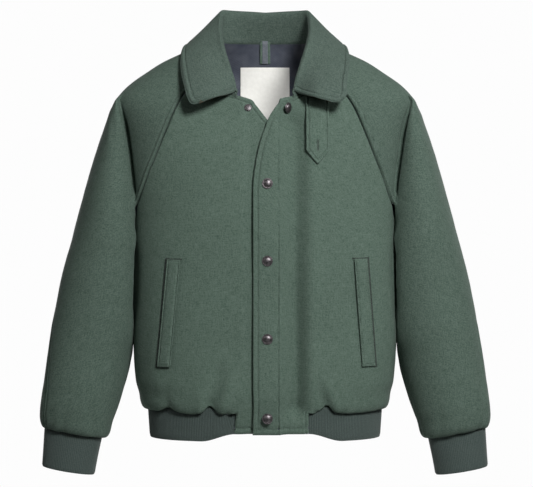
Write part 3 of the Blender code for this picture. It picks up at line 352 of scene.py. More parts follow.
# Creases: soft troughs (negative depth) or ridges along bowed lines, in front or back view.
# x is measured from the centre line towards the piece's own side; start and end are strengths.
CREASE_COLUMNS = ("x0", "z0", "x1", "z1", "bow", "width", "depth_mm", "start", "end")
CREASES = {
    "sleeve_front_right": [
        (0.252, -0.085, 0.253, -0.135, 0.001, 0.0045, 1.6, 0.3, 0.5),
        (0.241, -0.078, 0.244, -0.15, 0.002, 0.006, -1.4, 0.6, 0.2),
        (0.255, -0.32, 0.308, -0.352, 0.006, 0.013, -1.0, 1.0, 0.0),
        (0.25, -0.405, 0.315, -0.375, -0.004, 0.014, -0.9, 0.9, 0.1),
        (0.27, -0.47, 0.33, -0.5, 0.005, 0.012, -0.9, 0.6, 0.3),
        (0.285, -0.56, 0.278, -0.608, 0.001, 0.006, -1.6, 0.0, 1.0),
        (0.322, -0.575, 0.326, -0.61, 0.001, 0.0055, -1.4, 0.0, 1.0),
        (0.344, -0.57, 0.347, -0.605, 0.0, 0.005, -1.0, 0.0, 1.0),
    ],
    "sleeve_front_left": [
        (0.255, -0.09, 0.252, -0.16, -0.001, 0.0045, 1.4, 0.3, 0.5),
        (0.244, -0.082, 0.242, -0.15, 0.001, 0.006, -1.3, 0.6, 0.2),
        (0.26, -0.3, 0.264, -0.352, 0.003, 0.009, -0.9, 0.3, 0.3),
        (0.248, -0.38, 0.31, -0.35, -0.005, 0.014, -1.0, 0.9, 0.1),
        (0.255, -0.45, 0.325, -0.482, 0.006, 0.013, -0.9, 0.7, 0.2),
        (0.28, -0.565, 0.285, -0.61, 0.001, 0.006, -1.5, 0.0, 1.0),
        (0.315, -0.572, 0.311, -0.61, 0.001, 0.0055, -1.4, 0.0, 1.0),
        (0.348, -0.57, 0.346, -0.605, 0.0, 0.005, -1.0, 0.0, 1.0),
    ],
    "sleeve_back_left": [
        (0.245, -0.3, 0.305, -0.33, 0.008, 0.013, -2.2, 1.0, 0.1),
        (0.24, -0.35, 0.315, -0.372, 0.006, 0.012, -2.4, 1.0, 0.1),
        (0.255, -0.42, 0.33, -0.408, -0.006, 0.012, -1.8, 0.8, 0.2),
        (0.28, -0.56, 0.285, -0.61, 0.001, 0.006, -1.6, 0.0, 1.0),
        (0.32, -0.57, 0.316, -0.61, 0.001, 0.0055, -1.3, 0.0, 1.0),
    ],
    "sleeve_back_right": [
        (0.245, -0.285, 0.3, -0.318, 0.007, 0.012, -2.0, 1.0, 0.1),
        (0.242, -0.362, 0.318, -0.38, 0.007, 0.013, -2.3, 1.0, 0.1),
        (0.255, -0.432, 0.328, -0.415, -0.005, 0.012, -1.6, 0.8, 0.2),
        (0.288, -0.562, 0.283, -0.61, 0.001, 0.006, -1.5, 0.0, 1.0),
        (0.33, -0.572, 0.333, -0.61, 0.001, 0.0055, -1.3, 0.0, 1.0),
    ],
    "front_right": [
        (0.07, -0.5, 0.09, -0.56, 0.0, 0.008, -4.5, 0.4, 1.0),
        (0.056, -0.505, 0.069, -0.56, 0.0, 0.008, 2.5, 0.4, 1.0),
        (0.108, -0.528, 0.101, -0.568, -0.001, 0.006, 1.6, 0.1, 0.9),
        (0.17, -0.52, 0.16, -0.566, 0.002, 0.006, 1.6, 0.1, 0.9),
        (0.125, -0.3, 0.155, -0.262, 0.004, 0.018, -0.9, 0.2, 0.8),
        (0.187, -0.43, 0.193, -0.53, 0.004, 0.01, -1.3, 0.2, 0.6),
    ],
    "front_left": [
        (0.092, -0.52, 0.112, -0.562, -0.003, 0.0075, 1.8, 0.2, 0.9),
        (0.048, -0.115, 0.049, -0.565, 0.0, 0.0165, -12.0, 0.9, 1.0),
        (0.083, -0.515, 0.098, -0.56, 0.0, 0.007, -3.5, 0.3, 1.0),
        (0.074, -0.16, 0.074, -0.53, 0.0, 0.012, 3.0, 0.6, 1.0),
        (0.14, -0.532, 0.145, -0.57, 0.001, 0.006, -1.4, 0.0, 0.9),
        (0.13, -0.285, 0.162, -0.25, 0.003, 0.018, -0.9, 0.2, 0.8),
        (0.19, -0.45, 0.194, -0.54, 0.003, 0.01, -1.2, 0.2, 0.6),
    ],
    "back": [
        (-0.15, -0.17, 0.145, -0.18, 0.012, 0.02, -1.6, 0.5, 0.6),
        (-0.13, -0.25, -0.01, -0.232, -0.006, 0.016, -1.2, 0.8, 0.0),
        (0.15, -0.262, 0.04, -0.24, 0.006, 0.016, -1.2, 0.8, 0.0),
        (-0.075, -0.5, -0.072, -0.566, 0.002, 0.008, 2.0, 0.1, 0.9),
        (0.052, -0.505, 0.058, -0.566, -0.002, 0.008, 2.0, 0.1, 0.9),
        (0.16, -0.515, 0.156, -0.568, 0.001, 0.0065, -2.0, 0.0, 1.0),
        (-0.155, -0.512, -0.16, -0.568, 0.001, 0.0065, -2.0, 0.0, 1.0),
        (-0.028, -0.52, -0.034, -0.568, 0.001, 0.0065, -2.0, 0.0, 1.0),
    ],
}

# Where the roll over the rib is pinched up or hangs lower, at distances from the centre line.
HEM_WAVE_COLUMNS = ("x", "rise_mm", "half_width")
HEM_WAVES = {
    "front_right": [(0.088, 6.5, 0.0085),
                    (0.158, 4.5, 0.008),
                    (0.12, -2.5, 0.016),
                    (0.066, -1.5, 0.01)],
    "front_left": [(0.099, 7.5, 0.009),
                   (0.077, 4.0, 0.009),
                   (0.145, -2.5, 0.025)],
    "back": [(-0.09, 5.0, 0.011),
             (0.032, 4.5, 0.011),
             (0.11, 5.0, 0.011),
             (-0.16, 4.0, 0.011)],
}

# ---- sizes of the stage

JACKET_MIDDLE = (0.0, 0.0, -0.300)
LABEL_MIDDLE = (0.003, 0.075, -0.048)
LIGHT_DISTANCE = 3.0
SOFTBOXES = [  # name, azimuth, elevation, size, share of the key light's power
    ("key_above", 22, 28, 0.7, 1.00),
    ("key_right", 68, 30, 1.0, 0.16),
    ("fill_left", -62, 28, 1.2, 0.11),
    ("behind_left", -150, 6, 1.6, 0.50),
    ("behind_right", 140, 6, 1.6, 0.50),
]
NECK_SPOT_ELEVATION = 32
NECK_SPOT_CONE = math.radians(2.3)
SENSOR_WIDTH = 36.0  # millimetres
PHOTO_WIDTH = 533  # pixels

# ---- smooth tables and lines

def smooth(xs, ys):
    """Return a function: a smooth curve through the points that never overshoots them."""
    step = np.diff(xs)
    slope = np.diff(ys) / step
    tangent = np.concatenate(([slope[0]], (slope[1:] + slope[:-1]) / 2, [slope[-1]]))
    turns = slope[1:] * slope[:-1] <= 0
    tangent[1:-1][turns] = 0.0
    limit = 3 * np.minimum(np.abs(np.append(slope, slope[-1])), np.abs(np.append(slope[0], slope)))
    tangent = np.sign(tangent) * np.minimum(np.abs(tangent), limit)

    def at(x):
        x = np.clip(x, xs[0], xs[-1])
        i = np.clip(np.searchsorted(xs, x, side="right") - 1, 0, len(xs) - 2)
        t = (x - xs[i]) / step[i]
        keep = (1 + 2 * t) * (1 - t) ** 2 * ys[i] + t * t * (3 - 2 * t) * ys[i + 1]
        turn = t * (1 - t) ** 2 * step[i] * tangent[i] - t * t * (1 - t) * step[i] * tangent[i + 1]
        return keep + turn
    return at


def table(columns, rows):
    """Turn rows with named columns into one smooth function for each column after the first."""
    data = np.array(sorted(rows))
    return {name: smooth(data[:, 0], data[:, i]) for i, name in enumerate(columns) if i}


TORSO = table(TORSO_COLUMNS, TORSO_ROWS)
ARM = table(ARM_COLUMNS, ARM_ROWS)
CUFF = table(ARM_COLUMNS, CUFF_ROWS)
RAGLAN = table(RAGLAN_COLUMNS, RAGLAN_ROWS)
EDGE = table(EDGE_COLUMNS, EDGE_ROWS)
COLLAR = table(COLLAR_COLUMNS, COLLAR_ROWS)


def ease(t):
    """0 to 1, flat at both ends."""
    t = np.clip(t, 0.0, 1.0)
    return t * t * (3 - 2 * t)


def bell(distance, width):
    """1 at no distance, falling off smoothly over a width."""
    return np.exp(-(distance / width) ** 2)


def length_along(line):
    return np.concatenate(([0.0], np.cumsum(np.linalg.norm(np.diff(line, axis=0), axis=1))))


def cut_line(line, fractions, trim=(SEAM_GAP / 2, SEAM_GAP / 2)):
    """Points at the fractions of a line's length, after its two ends are trimmed."""
    run = length_along(line)
    wanted = trim[0] + np.asarray(fractions) * (run[-1] - trim[0] - trim[1])
    return np.stack([np.interp(wanted, run, line[:, k]) for k in range(line.shape[1])], axis=1)


def soften(line, reach=0.004):
    """Round the corners of a line over a short reach, keeping its ends."""
    count = len(line)
    even = cut_line(line, np.linspace(0, 1, count), (0, 0))
    half = max(1, int(reach / (length_along(even)[-1] / (count - 1))))
    for _ in range(2):
        before = 2 * even[0] - even[half:0:-1]
        after = 2 * even[-1] - even[-2:-2 - half:-1]
        padded = np.concatenate((before, even, after))
        total = np.cumsum(np.concatenate((np.zeros((1, line.shape[1])), padded)), axis=0)
        even = (total[2 * half + 1:] - total[:-2 * half - 1]) / (2 * half + 1)
    return even


def crowd(count, start=0.0, end=0.0, reach=0.09):
    """Fractions from 0 to 1 that lie closer together near the start and the end."""
    u = np.linspace(0, 1, 2001)
    density = 1 + start * bell(u, reach) + end * bell(1 - u, reach)
    total = np.concatenate(([0.0], np.cumsum((density[1:] + density[:-1]) / 2)))
    return np.interp(np.linspace(0, total[-1], count + 1), total, u)


def rows_between(top, bottom):
    """Heights from top to bottom, a row's step apart, without the last."""
    return list(np.linspace(top, bottom, max(2, round((top - bottom) / ROW_STEP)) + 1)[:-1])


# ---- the garment's form

def torso_size(z, face):
    return TORSO["side"](z), TORSO[face](z), TORSO["square"](z)


def oval(side, depth, square, angle):
    """A squared oval; angle 0 is the centre line and pi/2 the side."""
    s, c = np.sin(angle), np.cos(angle)
    x = side * np.sign(s) * np.abs(s) ** (2 / square)
    return np.stack([x, depth * np.abs(c) ** (2 / square)], axis=-1)


def torso_x(z, face, y):
    """How far out the torso reaches at the depth y."""
    side, depth, square = torso_size(z, face)
    return side * np.clip(1 - np.clip(np.abs(y) / depth, 0, 1) ** square, 0, 1) ** (1 / square)


def torso_angle_at_x(z, face, x):
    """The angle on the torso's outline at which it is x from the centre line."""
    side, _, square = torso_size(z, face)
    return np.sign(x) * np.arcsin(np.clip(abs(x) / side, 0, 1) ** (square / 2))


def torso_angle_at_y(z, face, y):
    _, depth, square = torso_size(z, face)
    return np.arccos(np.clip(y / depth, 0, 1) ** (square / 2))


def torso_line(z, face, start, end):
    """The torso's outline between two angles."""
    side, depth, square = torso_size(z, face)
    return oval(side, depth, square, start + (end - start) * np.linspace(0, 1, DENSE))


def arm_line(sizes, z, face, start, end):
    """An oval sleeve's outline; angle pi is its inner side, pi/2 its front or back, 0 outside."""
    width, depth = sizes["width"](z) / 2, sizes["depth"](z) / 2
    drift = sizes["drift"](z) * (-1 if face == "front" else 1)
    angle = np.linspace(start, end, DENSE)
    x = sizes["outer"](z) - width + width * np.cos(angle)
    return np.stack([x, drift + depth * np.sin(angle)], axis=1)


def from_crossing(line, measure):
    """The part of a line after its measure first rises past 0, starting exactly there."""
    first = int(np.argmax(measure > 0))
    if first == 0:
        return line
    share = measure[first - 1] / (measure[first - 1] - measure[first])
    start = line[first - 1] + share * (line[first] - line[first - 1])
    return np.concatenate((start[None], line[first:]))


def crease(z, face):
    """Depth at which the sleeve meets the torso, and the arm's outline from there outwards."""
    arm = arm_line(ARM, z, face, math.pi, 0.0)
    out = arm[:, 0] - torso_x(z, face, arm[:, 1])
    if z > SHOULDER_TIP_Z or not (out > 0).any():
        return None, None
    arm = from_crossing(arm, out)
    return arm[0, 1], arm


def seam_depth(z, face):
    """Depth of the raglan seam at the bottom of the fold beside the arm."""
    return crease(z, face)[0] * ease((z - UNDERARM_Z) / (DIVE_Z - UNDERARM_Z))


def seam_angle(z, face):
    """Where a front or back panel ends: at the raglan seam, or at the side seam below the arm."""
    if z < UNDERARM_Z:
        return math.pi / 2
    if z < DIVE_Z:
        return torso_angle_at_y(z, face, seam_depth(z, face))
    depth = crease(z, face)[0]
    raglan = torso_angle_at_x(z, face, RAGLAN[face](z))
    return raglan if depth is None else min(raglan, torso_angle_at_y(z, face, depth))


def fold_gap(z, face):
    """Half the gap at a raglan seam, which opens a little at the front fold."""
    return SEAM_GAP / 2 + (FOLD_GAP * ease(1 - abs(z - DIVE_Z) / FOLD_GAP_REACH) if face == "front" else 0)


def neck_angle(z, face, wearer_side):
    """Where a panel starts: at its front edge or its neckline."""
    if face == "back":
        return torso_angle_at_x(z, face, RAGLAN[face](z))
    return torso_angle_at_x(z, face, EDGE[wearer_side](z))


def sleeve_line(z, face, overarm=0.0):
    """A raglan sleeve's outline from its body side to its overarm seam, and the fold's place."""
    if z < UNDERARM_Z:
        arm = arm_line(ARM, z, face, math.pi, overarm)
        arm[:, 0] = np.maximum(arm[:, 0], torso_x(z, face, arm[:, 1]) + SLEEVE_CLEARANCE)
        return arm, SLEEVE_FOLD
    if z < DIVE_Z:
        bottom = seam_depth(z, face)
        arm = arm_line(ARM, z, face, math.pi, 0.0)
        arm = from_crossing(arm, arm[:, 1] - bottom)
        away = SEAM_GAP + (SLEEVE_CLEARANCE - SEAM_GAP) * ease((arm[:, 1] - bottom) / 0.01)
        arm[:, 0] = np.maximum(arm[:, 0], torso_x(z, face, arm[:, 1]) + away)
        return arm, SLEEVE_FOLD
    depth, arm = crease(z, face)
    top = seam_angle(z, face)
    if face == "front" and z > RAGLAN_TOP_Z:
        top = neck_angle(z, face, "left")
    if depth is None:
        body = torso_line(z, face, top, math.pi / 2)
        run = length_along(body)
        fold = np.interp(-FOLD_TOP_DEPTH, -body[:, 1], run) / run[-1]
        return body, SLEEVE_FOLD + ease(-z / 0.05) * (fold - SLEEVE_FOLD)
    body = torso_line(z, face, top, torso_angle_at_y(z, face, depth))
    fold = length_along(body)[-1] / (length_along(body)[-1] + length_along(arm)[-1])
    share = ease((z - DIVE_Z) / FOLD_BLEND)
    line = soften(np.concatenate((body[:-1], arm)))
    return line, SLEEVE_FOLD + share * (fold - SLEEVE_FOLD)


def curl(turn):
    """Round the rolled-under edge: share of the drop, of the overhang, and of the tuck."""
    angle = math.pi / 2 * min(1.0, turn / CURL_ROUND)
    overhang = CURL_LEFT + (1 - CURL_LEFT) * math.cos(angle)
    return math.sin(angle), overhang, max(0.0, turn - CURL_ROUND) / (1 - CURL_ROUND)


def rib_point(angle, face, out=0.0):
    return oval(RIB["side"] + out, RIB[face] + out, RIB["square"], angle)


def strip_share(x, strip_end):
    """0 on the plain strip beside the placket, 1 where the body blouses over the rib."""
    return ease((x - strip_end - STRIP_FLAT) / STRIP_FADE)


def strip_outline(side, z, angle):
    """Depth of the flat strip of the front from the bulge down to its bottom edge."""
    part = (BULGE_TOP_Z - z) / (BULGE_TOP_Z - STRIP_HEM_Z)
    depth = TORSO["front"](BULGE_TOP_Z) * (1 - part) + STRIP_FRONT * part
    return oval(side, depth, BODY_SQUARE, angle)[:, 1]


def mirror_of(side):
    return 1 if side == "left" else -1


def place(line, z, face, mirror):
    """Put a quarter outline into the world."""
    sign_y = -1 if face == "front" else 1
    z = np.broadcast_to(z, line[:, 0].shape)
    return np.stack([line[:, 0] * mirror, sign_y * line[:, 1], z], axis=1)


def grid_normals(grid, wrap=False):
    """Unit normals of a grid of points, from its neighbours along rows and columns."""
    along = np.gradient(grid, axis=0, edge_order=2)
    if wrap:
        across = (np.roll(grid, -1, axis=1) - np.roll(grid, 1, axis=1)) / 2
    else:
        across = np.gradient(grid, axis=1, edge_order=2)
    normal = np.cross(across, along)
    return normal / np.maximum(np.linalg.norm(normal, axis=2, keepdims=True), 1e-12)


def raised(grid, relief):
    """A grid of points moved out along its normals."""
    return grid + grid_normals(grid) * relief[..., None]


def even_rows(grid, rounds):
    """Take small steps between rows out of a grid, keeping its first and last rows."""
    grid = grid.copy()
    for _ in range(rounds):
        grid[1:-1] = (grid[:-2] + 2 * grid[1:-1] + grid[2:]) / 4
    return grid


# ---- folds, creases and sewing

def near_line(x, z, x0, z0, x1, z1, bow=0.0):
    """How far along a bowed line points lie, unclipped, and how far beside it."""
    run = np.array([x1 - x0, z1 - z0])
    size = np.hypot(*run)
    along = ((x - x0) * run[0] + (z - z0) * run[1]) / size ** 2
    beside = ((x - x0) * -run[1] + (z - z0) * run[0]) / size
    t = np.clip(along, 0, 1)
    return along, t, np.hypot((along - t) * size, beside - bow * 4 * t * (1 - t))


def fold_relief(face, x, z):
    """Sum of the large soft folds that the solids also have."""
    relief = np.zeros_like(x)
    for row in FOLDS:
        fold = dict(zip(FOLD_COLUMNS, row))
        if fold["face"] == face:
            t, _, gap = near_line(x, z, fold["x0"], fold["z0"], fold["x1"], fold["z1"])
            rise = ease(1.0 - np.abs(np.clip(t, -0.3, 1.0) - 1.0) / 1.3) ** 0.6
            relief += fold["depth"] * bell(gap, fold["width"]) * rise
    return relief


def crease_relief(piece, x, z):
    """Sum of the creases of one piece; x is measured towards the piece's own side."""
    relief = np.zeros_like(x)
    for row in CREASES[piece]:
        line = dict(zip(CREASE_COLUMNS, row))
        _, t, gap = near_line(x, z, *row[:5])
        strength = line["start"] * (1 - t) + line["end"] * t
        fade = 0.35 + 0.65 * np.sin(math.pi * t) ** 0.5
        depth = line["depth_mm"] * MM
        relief += depth * bell(gap, line["width"]) * np.maximum(strength, fade * 0.8)
    return relief


def lap_relief(x, wearer_side):
    """Step the two fronts apart where one lies on the other."""
    reach = 1 - ease((np.abs(x) - LAP_REACH + LAP_FADE_IN) / LAP_FADE)
    proud = PLACKET_PROUD * (1 - ease((x - PLACKET_STITCH_X - PLACKET_EDGE) / PLACKET_FADE))
    return LAP_OUT * reach + proud if wearer_side == "left" else -LAP_IN * reach


def hand_relief(grid, seed):
    """The slight unevenness of thick cloth: waves of a hand's width, under a millimetre deep."""
    x, y, z = np.moveaxis(grid, -1, 0)
    wide = np.sin(x / 0.023 + 1.4 * np.sin(z / 0.051) + seed)
    wide += np.sin(z / 0.029 + 1.8 * np.sin(x / 0.047) - seed)
    small = np.sin((x + y) / 0.0093 + 2.1 * np.sin(z / 0.017) + 2 * seed) * np.sin(z / 0.0110 + seed)
    return 0.42 * MM * wide + 0.16 * MM * small


def pucker(grid):
    """Uneven pulling of a row of stitches, between about 0.6 and 1.4."""
    x, y, z = np.moveaxis(grid, -1, 0)
    run = z + 0.7 * x + 0.5 * y
    return 1 + 0.28 * np.sin(run / 0.0024 + 2 * np.sin(run / 0.0170)) + 0.15 * np.sin(run / 0.0061)


def strip_slant(grid):
    """Slant the joins of the hem rib and the front strips: outwards at the bottom."""
    grid = grid.copy()
    x = grid[..., 0]
    near = np.maximum(SLANT_LEFT * bell(x - STRIP_LEFT, SLANT_REACH), bell(x + STRIP_RIGHT, SLANT_REACH))
    below = np.clip((SLANT_Z - grid[..., 2]) / (SLANT_Z - HEM_Z), -1, 1)
    below *= ease((LAST_STRAIGHT_Z - grid[..., 2]) / 0.03)
    grid[..., 0] += np.sign(x) * near * SLANT * below * (grid[..., 1] < 0)
    return grid


def hem_wave(piece, x):
    """How far the roll over the rib is pinched up, or hangs lower, at a distance from the centre line."""
    rise = np.zeros_like(x)
    for row in HEM_WAVES[piece]:
        wave = dict(zip(HEM_WAVE_COLUMNS, row))
        rise += wave["rise_mm"] * MM * bell(x - wave["x"], wave["half_width"])
    return rise


def distance_to(grid, line):
    """Distance of every grid point from a line of points."""
    count = max(len(line), int(length_along(line)[-1] / (0.5 * MM)))
    points = np.concatenate((line, cut_line(line, np.linspace(0, 1, count), (0, 0))))
    tree = KDTree(len(points))
    for i, point in enumerate(points):
        tree.insert(point, i)
    tree.balance()
    flat = grid.reshape(-1, 3)
    return np.array([tree.find(p)[2] for p in flat]).reshape(grid.shape[:2])


def seam_dip(distance):
    return -SEAM_DIP * np.clip(1 - distance / SEAM_REACH, 0, 1) ** 2


def edge_round(distance, thickness):
    """How far a free edge of cloth rounds in from each side, at a distance from the edge."""
    part = np.clip(1 - distance / (0.75 * thickness), 0, 1)
    return 0.48 * thickness * (1 - np.sqrt(1 - part * part))


def groove(distance, inset):
    return -GROOVE_DEPTH * bell(distance - inset, GROOVE_WIDTH)


def contours(grid, normals, field, level, keep=None):
    """Lines on a grid where a field has one value: a list of (points, normals)."""
    value = field - level
    above = value > 0
    mixed = above[:-1, :-1].astype(int) + above[:-1, 1:] + above[1:, :-1] + above[1:, 1:]
    cells = (mixed > 0) & (mixed < 4)
    if keep is not None:
        cells &= keep
    found = {}
    links = {}
    for i, j in zip(*np.nonzero(cells)):
        corners = [(i, j), (i, j + 1), (i + 1, j + 1), (i + 1, j)]
        crossed = []
        for a, b in zip(corners, corners[1:] + corners[:1]):
            if above[a] != above[b]:
                key = (min(a, b), max(a, b))
                t = value[a] / (value[a] - value[b])
                found[key] = (grid[a] * (1 - t) + grid[b] * t, normals[a] * (1 - t) + normals[b] * t)
                crossed.append(key)
        for one, other in zip(crossed[::2], crossed[1::2]):
            links.setdefault(one, []).append(other)
            links.setdefault(other, []).append(one)
    lines = []
    left = dict.fromkeys(sorted(links, key=lambda k: (len(links[k]), k)))
    while left:
        here = next(iter(left))
        chain = []
        while here is not None:
            left.pop(here)
            chain.append(here)
            here = next((k for k in links[here] if k in left), None)
        if len(chain) > 3:
            lines.append(tuple(np.array([found[k][n] for k in chain]) for n in (0, 1)))
    return lines


# ---- meshes

def add_to_scene(name, data):
    obj = bpy.data.objects.new(name, data)
    bpy.context.scene.collection.objects.link(obj)
    return obj


def add_object(name, vertices, faces, materials, face_materials=None, uv=None, sharp=50):
    mesh = bpy.data.meshes.new(name)
    mesh.from_pydata(np.asarray(vertices, float).tolist(), [], faces)
    for material in materials:
        mesh.materials.append(material)
    if face_materials is not None:
        mesh.polygons.foreach_set("material_index", np.asarray(face_materials, np.int32))
    if uv is not None:
        corners = np.zeros(len(mesh.loops), np.int32)
        mesh.loops.foreach_get("vertex_index", corners)
        layer = mesh.uv_layers.new(name="cloth")
        layer.data.foreach_set("uv", np.asarray(uv, np.float32)[corners].ravel())
    mesh.shade_smooth()
    mesh.set_sharp_from_angle(angle=math.radians(sharp))
    return add_to_scene(name, mesh)


def cloth_lengths(grid):
    """Lengths across and down a grid at each point, for the weave."""
    across = np.linalg.norm(np.diff(grid, axis=1), axis=2)
    across = np.concatenate((np.zeros((len(grid), 1)), np.cumsum(across, axis=1)), axis=1)
    down = np.linalg.norm(np.diff(grid, axis=0), axis=2)
    down = np.concatenate((np.zeros((1, grid.shape[1])), np.cumsum(down, axis=0)))
    return np.stack([across, down], axis=-1)


def add_shell(name, outer, inner, materials, keep=None, wrap=False, under=None, uv=None):
    """Close an outer and an inner grid into a wall. The rim takes the first material.

    The inner side takes the last material, or only those of its columns that under marks.
    """
    rows, cols = outer.shape[:2]
    span = cols if wrap else cols - 1
    keep = np.ones((rows - 1, span), bool) if keep is None else keep
    i, j = np.nonzero(keep)
    k = (j + 1) % cols
    quads = np.stack([i * cols + j, i * cols + k, (i + 1) * cols + k, (i + 1) * cols + j], axis=1)
    offset = rows * cols
    edges = np.concatenate([quads[:, [n, (n + 1) % 4]] for n in range(4)])
    key = edges[:, 0] * offset + edges[:, 1]
    back = edges[:, 1] * offset + edges[:, 0]
    border = edges[~np.isin(key, back)]
    rim = np.stack([border[:, 1], border[:, 0], border[:, 0] + offset, border[:, 1] + offset], axis=1)
    faces = np.concatenate((quads, quads[:, ::-1] + offset, rim))
    uv = cloth_lengths(outer) if uv is None else uv
    uv = np.concatenate((uv.reshape(-1, 2), uv.reshape(-1, 2)))
    vertices = np.concatenate((outer.reshape(-1, 3), inner.reshape(-1, 3)))
    used, faces_new = np.unique(faces, return_inverse=True)
    faces = faces_new.reshape(faces.shape)
    backing = np.full(len(quads), len(materials) - 1) * (1 if under is None else under[j])
    slots = np.concatenate((np.zeros(len(quads)), backing, np.zeros(len(rim))))
    return add_object(name, vertices[used], faces.tolist(), materials, slots, uv[used])


def finish_piece(obj, slot, *nodes):
    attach(obj, "root")
    if nodes:
        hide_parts(*nodes)


def add_stitches(name, lines, material, slot, pitch):
    """Rows of thread along lines of (points, normals): each stitch dives in at both ends."""
    vertices = []
    faces = []
    sides = 5
    for points, normals in lines:
        run = length_along(points)
        count = int(run[-1] / pitch)
        if count < 1:
            continue

        def at(where, values):
            return np.stack([np.interp(where, run, values[:, k]) for k in range(3)], axis=-1)
        for n in range(count):
            start = (n + 0.14) * pitch
            for share, size, lift in STITCH_RINGS:
                where = start + share * pitch * STITCH_SHARE
                centre = at(where, points)
                ahead = at(min(where + 0.3 * MM, run[-1]), points) - at(max(where - 0.3 * MM, 0), points)
                ahead /= np.linalg.norm(ahead) + 1e-12
                up = at(where, normals)
                up /= np.linalg.norm(up) + 1e-12
                beside = np.cross(ahead, up)
                centre = centre + up * (lift * THREAD_RADIUS - THREAD_SINK)
                for s in range(sides):
                    turn = 2 * math.pi * s / sides
                    spoke = beside * math.cos(turn) + up * math.sin(turn)
                    vertices.append(centre + spoke * THREAD_RADIUS * size)
            last = len(vertices) - sides
            base = last - sides * (len(STITCH_RINGS) - 1)
            for ring in range(base, last, sides):
                for s in range(sides):
                    a, b = ring + s, ring + (s + 1) % sides
                    faces.append((a, b, b + sides, a + sides))
            faces.append(tuple(reversed(range(base, base + sides))))
            faces.append(tuple(range(last, last + sides)))
    obj = add_object(name, vertices, faces, [material], sharp=180)
    finish_piece(obj, slot)


def sew(grid, seams=(), edges=(), grooves=(), thickness=WALL, dip=1.0):
    """Outer and inner grids of a piece, and its normals.

    Seams pull in by a share dip of the usual depth, free edges round off and stitches sink along
    the (field, inset) pairs in grooves.
    """
    normals = grid_normals(grid)
    relief = np.zeros(grid.shape[:2])
    rounding = np.zeros(grid.shape[:2])
    for line in seams:
        relief += dip * seam_dip(distance_to(grid, line))
    for line in edges:
        rounding = np.maximum(rounding, edge_round(distance_to(grid, line), thickness))
    uneven = pucker(grid)
    for field, inset in grooves:
        relief += groove(field, inset) * uneven
    outer = grid + normals * (relief - rounding)[..., None]
    return outer, grid - normals * (thickness - rounding)[..., None], normals


# ---- colours and materials

def srgb(code):
    """Linear colour from an sRGB hex value."""
    parts = np.array([int(code[n:n + 2], 16) for n in (1, 3, 5)]) / 255
    linear = np.where(parts <= 0.04045, parts / 12.92, ((parts + 0.055) / 1.055) ** 2.4)
    return (*linear.tolist(), 1.0)


def mixed(a, b, share):
    return tuple(p * (1 - share) + q * share for p, q in zip(a, b))


def per_mm(size):
    """Texture scale that repeats once in so many millimetres."""
    return 1.0 / (size * MM)


def node(tree, kind, inputs=None, output=0, **settings):
    """Add a node with its settings, set or link its inputs, and return one output, or all for None."""
    made = tree.nodes.new("ShaderNode" + kind)
    for key, value in settings.items():
        setattr(made, key, value)
    for key, value in (inputs or {}).items():
        if isinstance(value, bpy.types.NodeSocket):
            tree.links.new(value, made.inputs[key])
        else:
            made.inputs[key].default_value = value
    return made.outputs if output is None else made.outputs[output]


def new_material(name, roughness, **constants):
    """A Principled material with its constant values set on the sockets."""
    material = bpy.data.materials.new(name)
    material.use_nodes = True
    shader = material.node_tree.nodes["Principled BSDF"]
    shader.inputs["Roughness"].default_value = roughness
    for key, value in constants.items():
        shader.inputs[key.replace("_", " ")].default_value = value
    return material, material.node_tree, shader.inputs


def shades(tree, colour, tone, low, high, darker, lighter):
    """The colour made darker to lighter, by these shares, as a tone rises from low to high."""
    share = node(tree, "MapRange", {"Value": tone, "From Min": low, "From Max": high}, clamp=True)
    ends = {6: mixed(colour, BLACK, darker), 7: mixed(colour, WHITE, lighter)}
    return node(tree, "Mix", {0: share, **ends}, 2, data_type="RGBA")


def finish_surface(tree, shader, colour, height, depth):
    """Give a material its colour, and raise its surface by a texture to a real depth in metres."""
    tree.links.new(colour, shader["Base Color"])
    relief = node(tree, "Bump", {"Height": height, "Distance": depth, "Strength": 1.0})
    tree.links.new(relief, shader["Normal"])


def melton(name, colour):
    """Milled wool melton, felted and cropped: matt and faintly mottled, its threads just showing."""
    material, tree, shader = new_material(
        name, 0.95, Sheen_Weight=0.08, Sheen_Roughness=0.5, Specular_IOR_Level=0.12,
        Sheen_Tint=mixed(colour, WHITE, 0.4))
    places = node(tree, "TexCoord", output=None)
    # Fibre clumps are about 1 mm; they are drawn at 2 mm so that they show at arm's length.
    clumps = node(tree, "TexNoise", {"Vector": places["Object"], "Scale": per_mm(2.0), "Detail": 2.0,
                                     "Roughness": 0.65})
    # Warp and weft lie 0.8 mm apart under the nap; each is drawn as streaks 1.7 mm wide.
    streaks = []
    for stretch in ((1 / 9, 1, 1), (1, 1 / 9, 1)):
        run = node(tree, "Mapping", {"Vector": places["UV"], "Scale": stretch})
        streaks.append(node(tree, "TexNoise", {"Vector": run, "Scale": per_mm(1.7), "Detail": 1.0}))
    threads = node(tree, "Mix", {0: 0.5, 2: streaks[0], 3: streaks[1]})
    cloud = node(tree, "TexNoise", {"Vector": places["Object"], "Scale": per_mm(60), "Detail": 2.0})
    heather = node(tree, "Mix", {0: 0.45, 2: clumps, 3: threads})
    speckled = shades(tree, colour, heather, 0.33, 0.62, 0.30, 0.048)
    clouded = node(tree, "Mix", {0: 0.12, 6: speckled, 7: cloud}, 2, data_type="RGBA", blend_type="MULTIPLY")
    finish_surface(tree, shader, clouded, heather, 0.50 * MM)
    return material


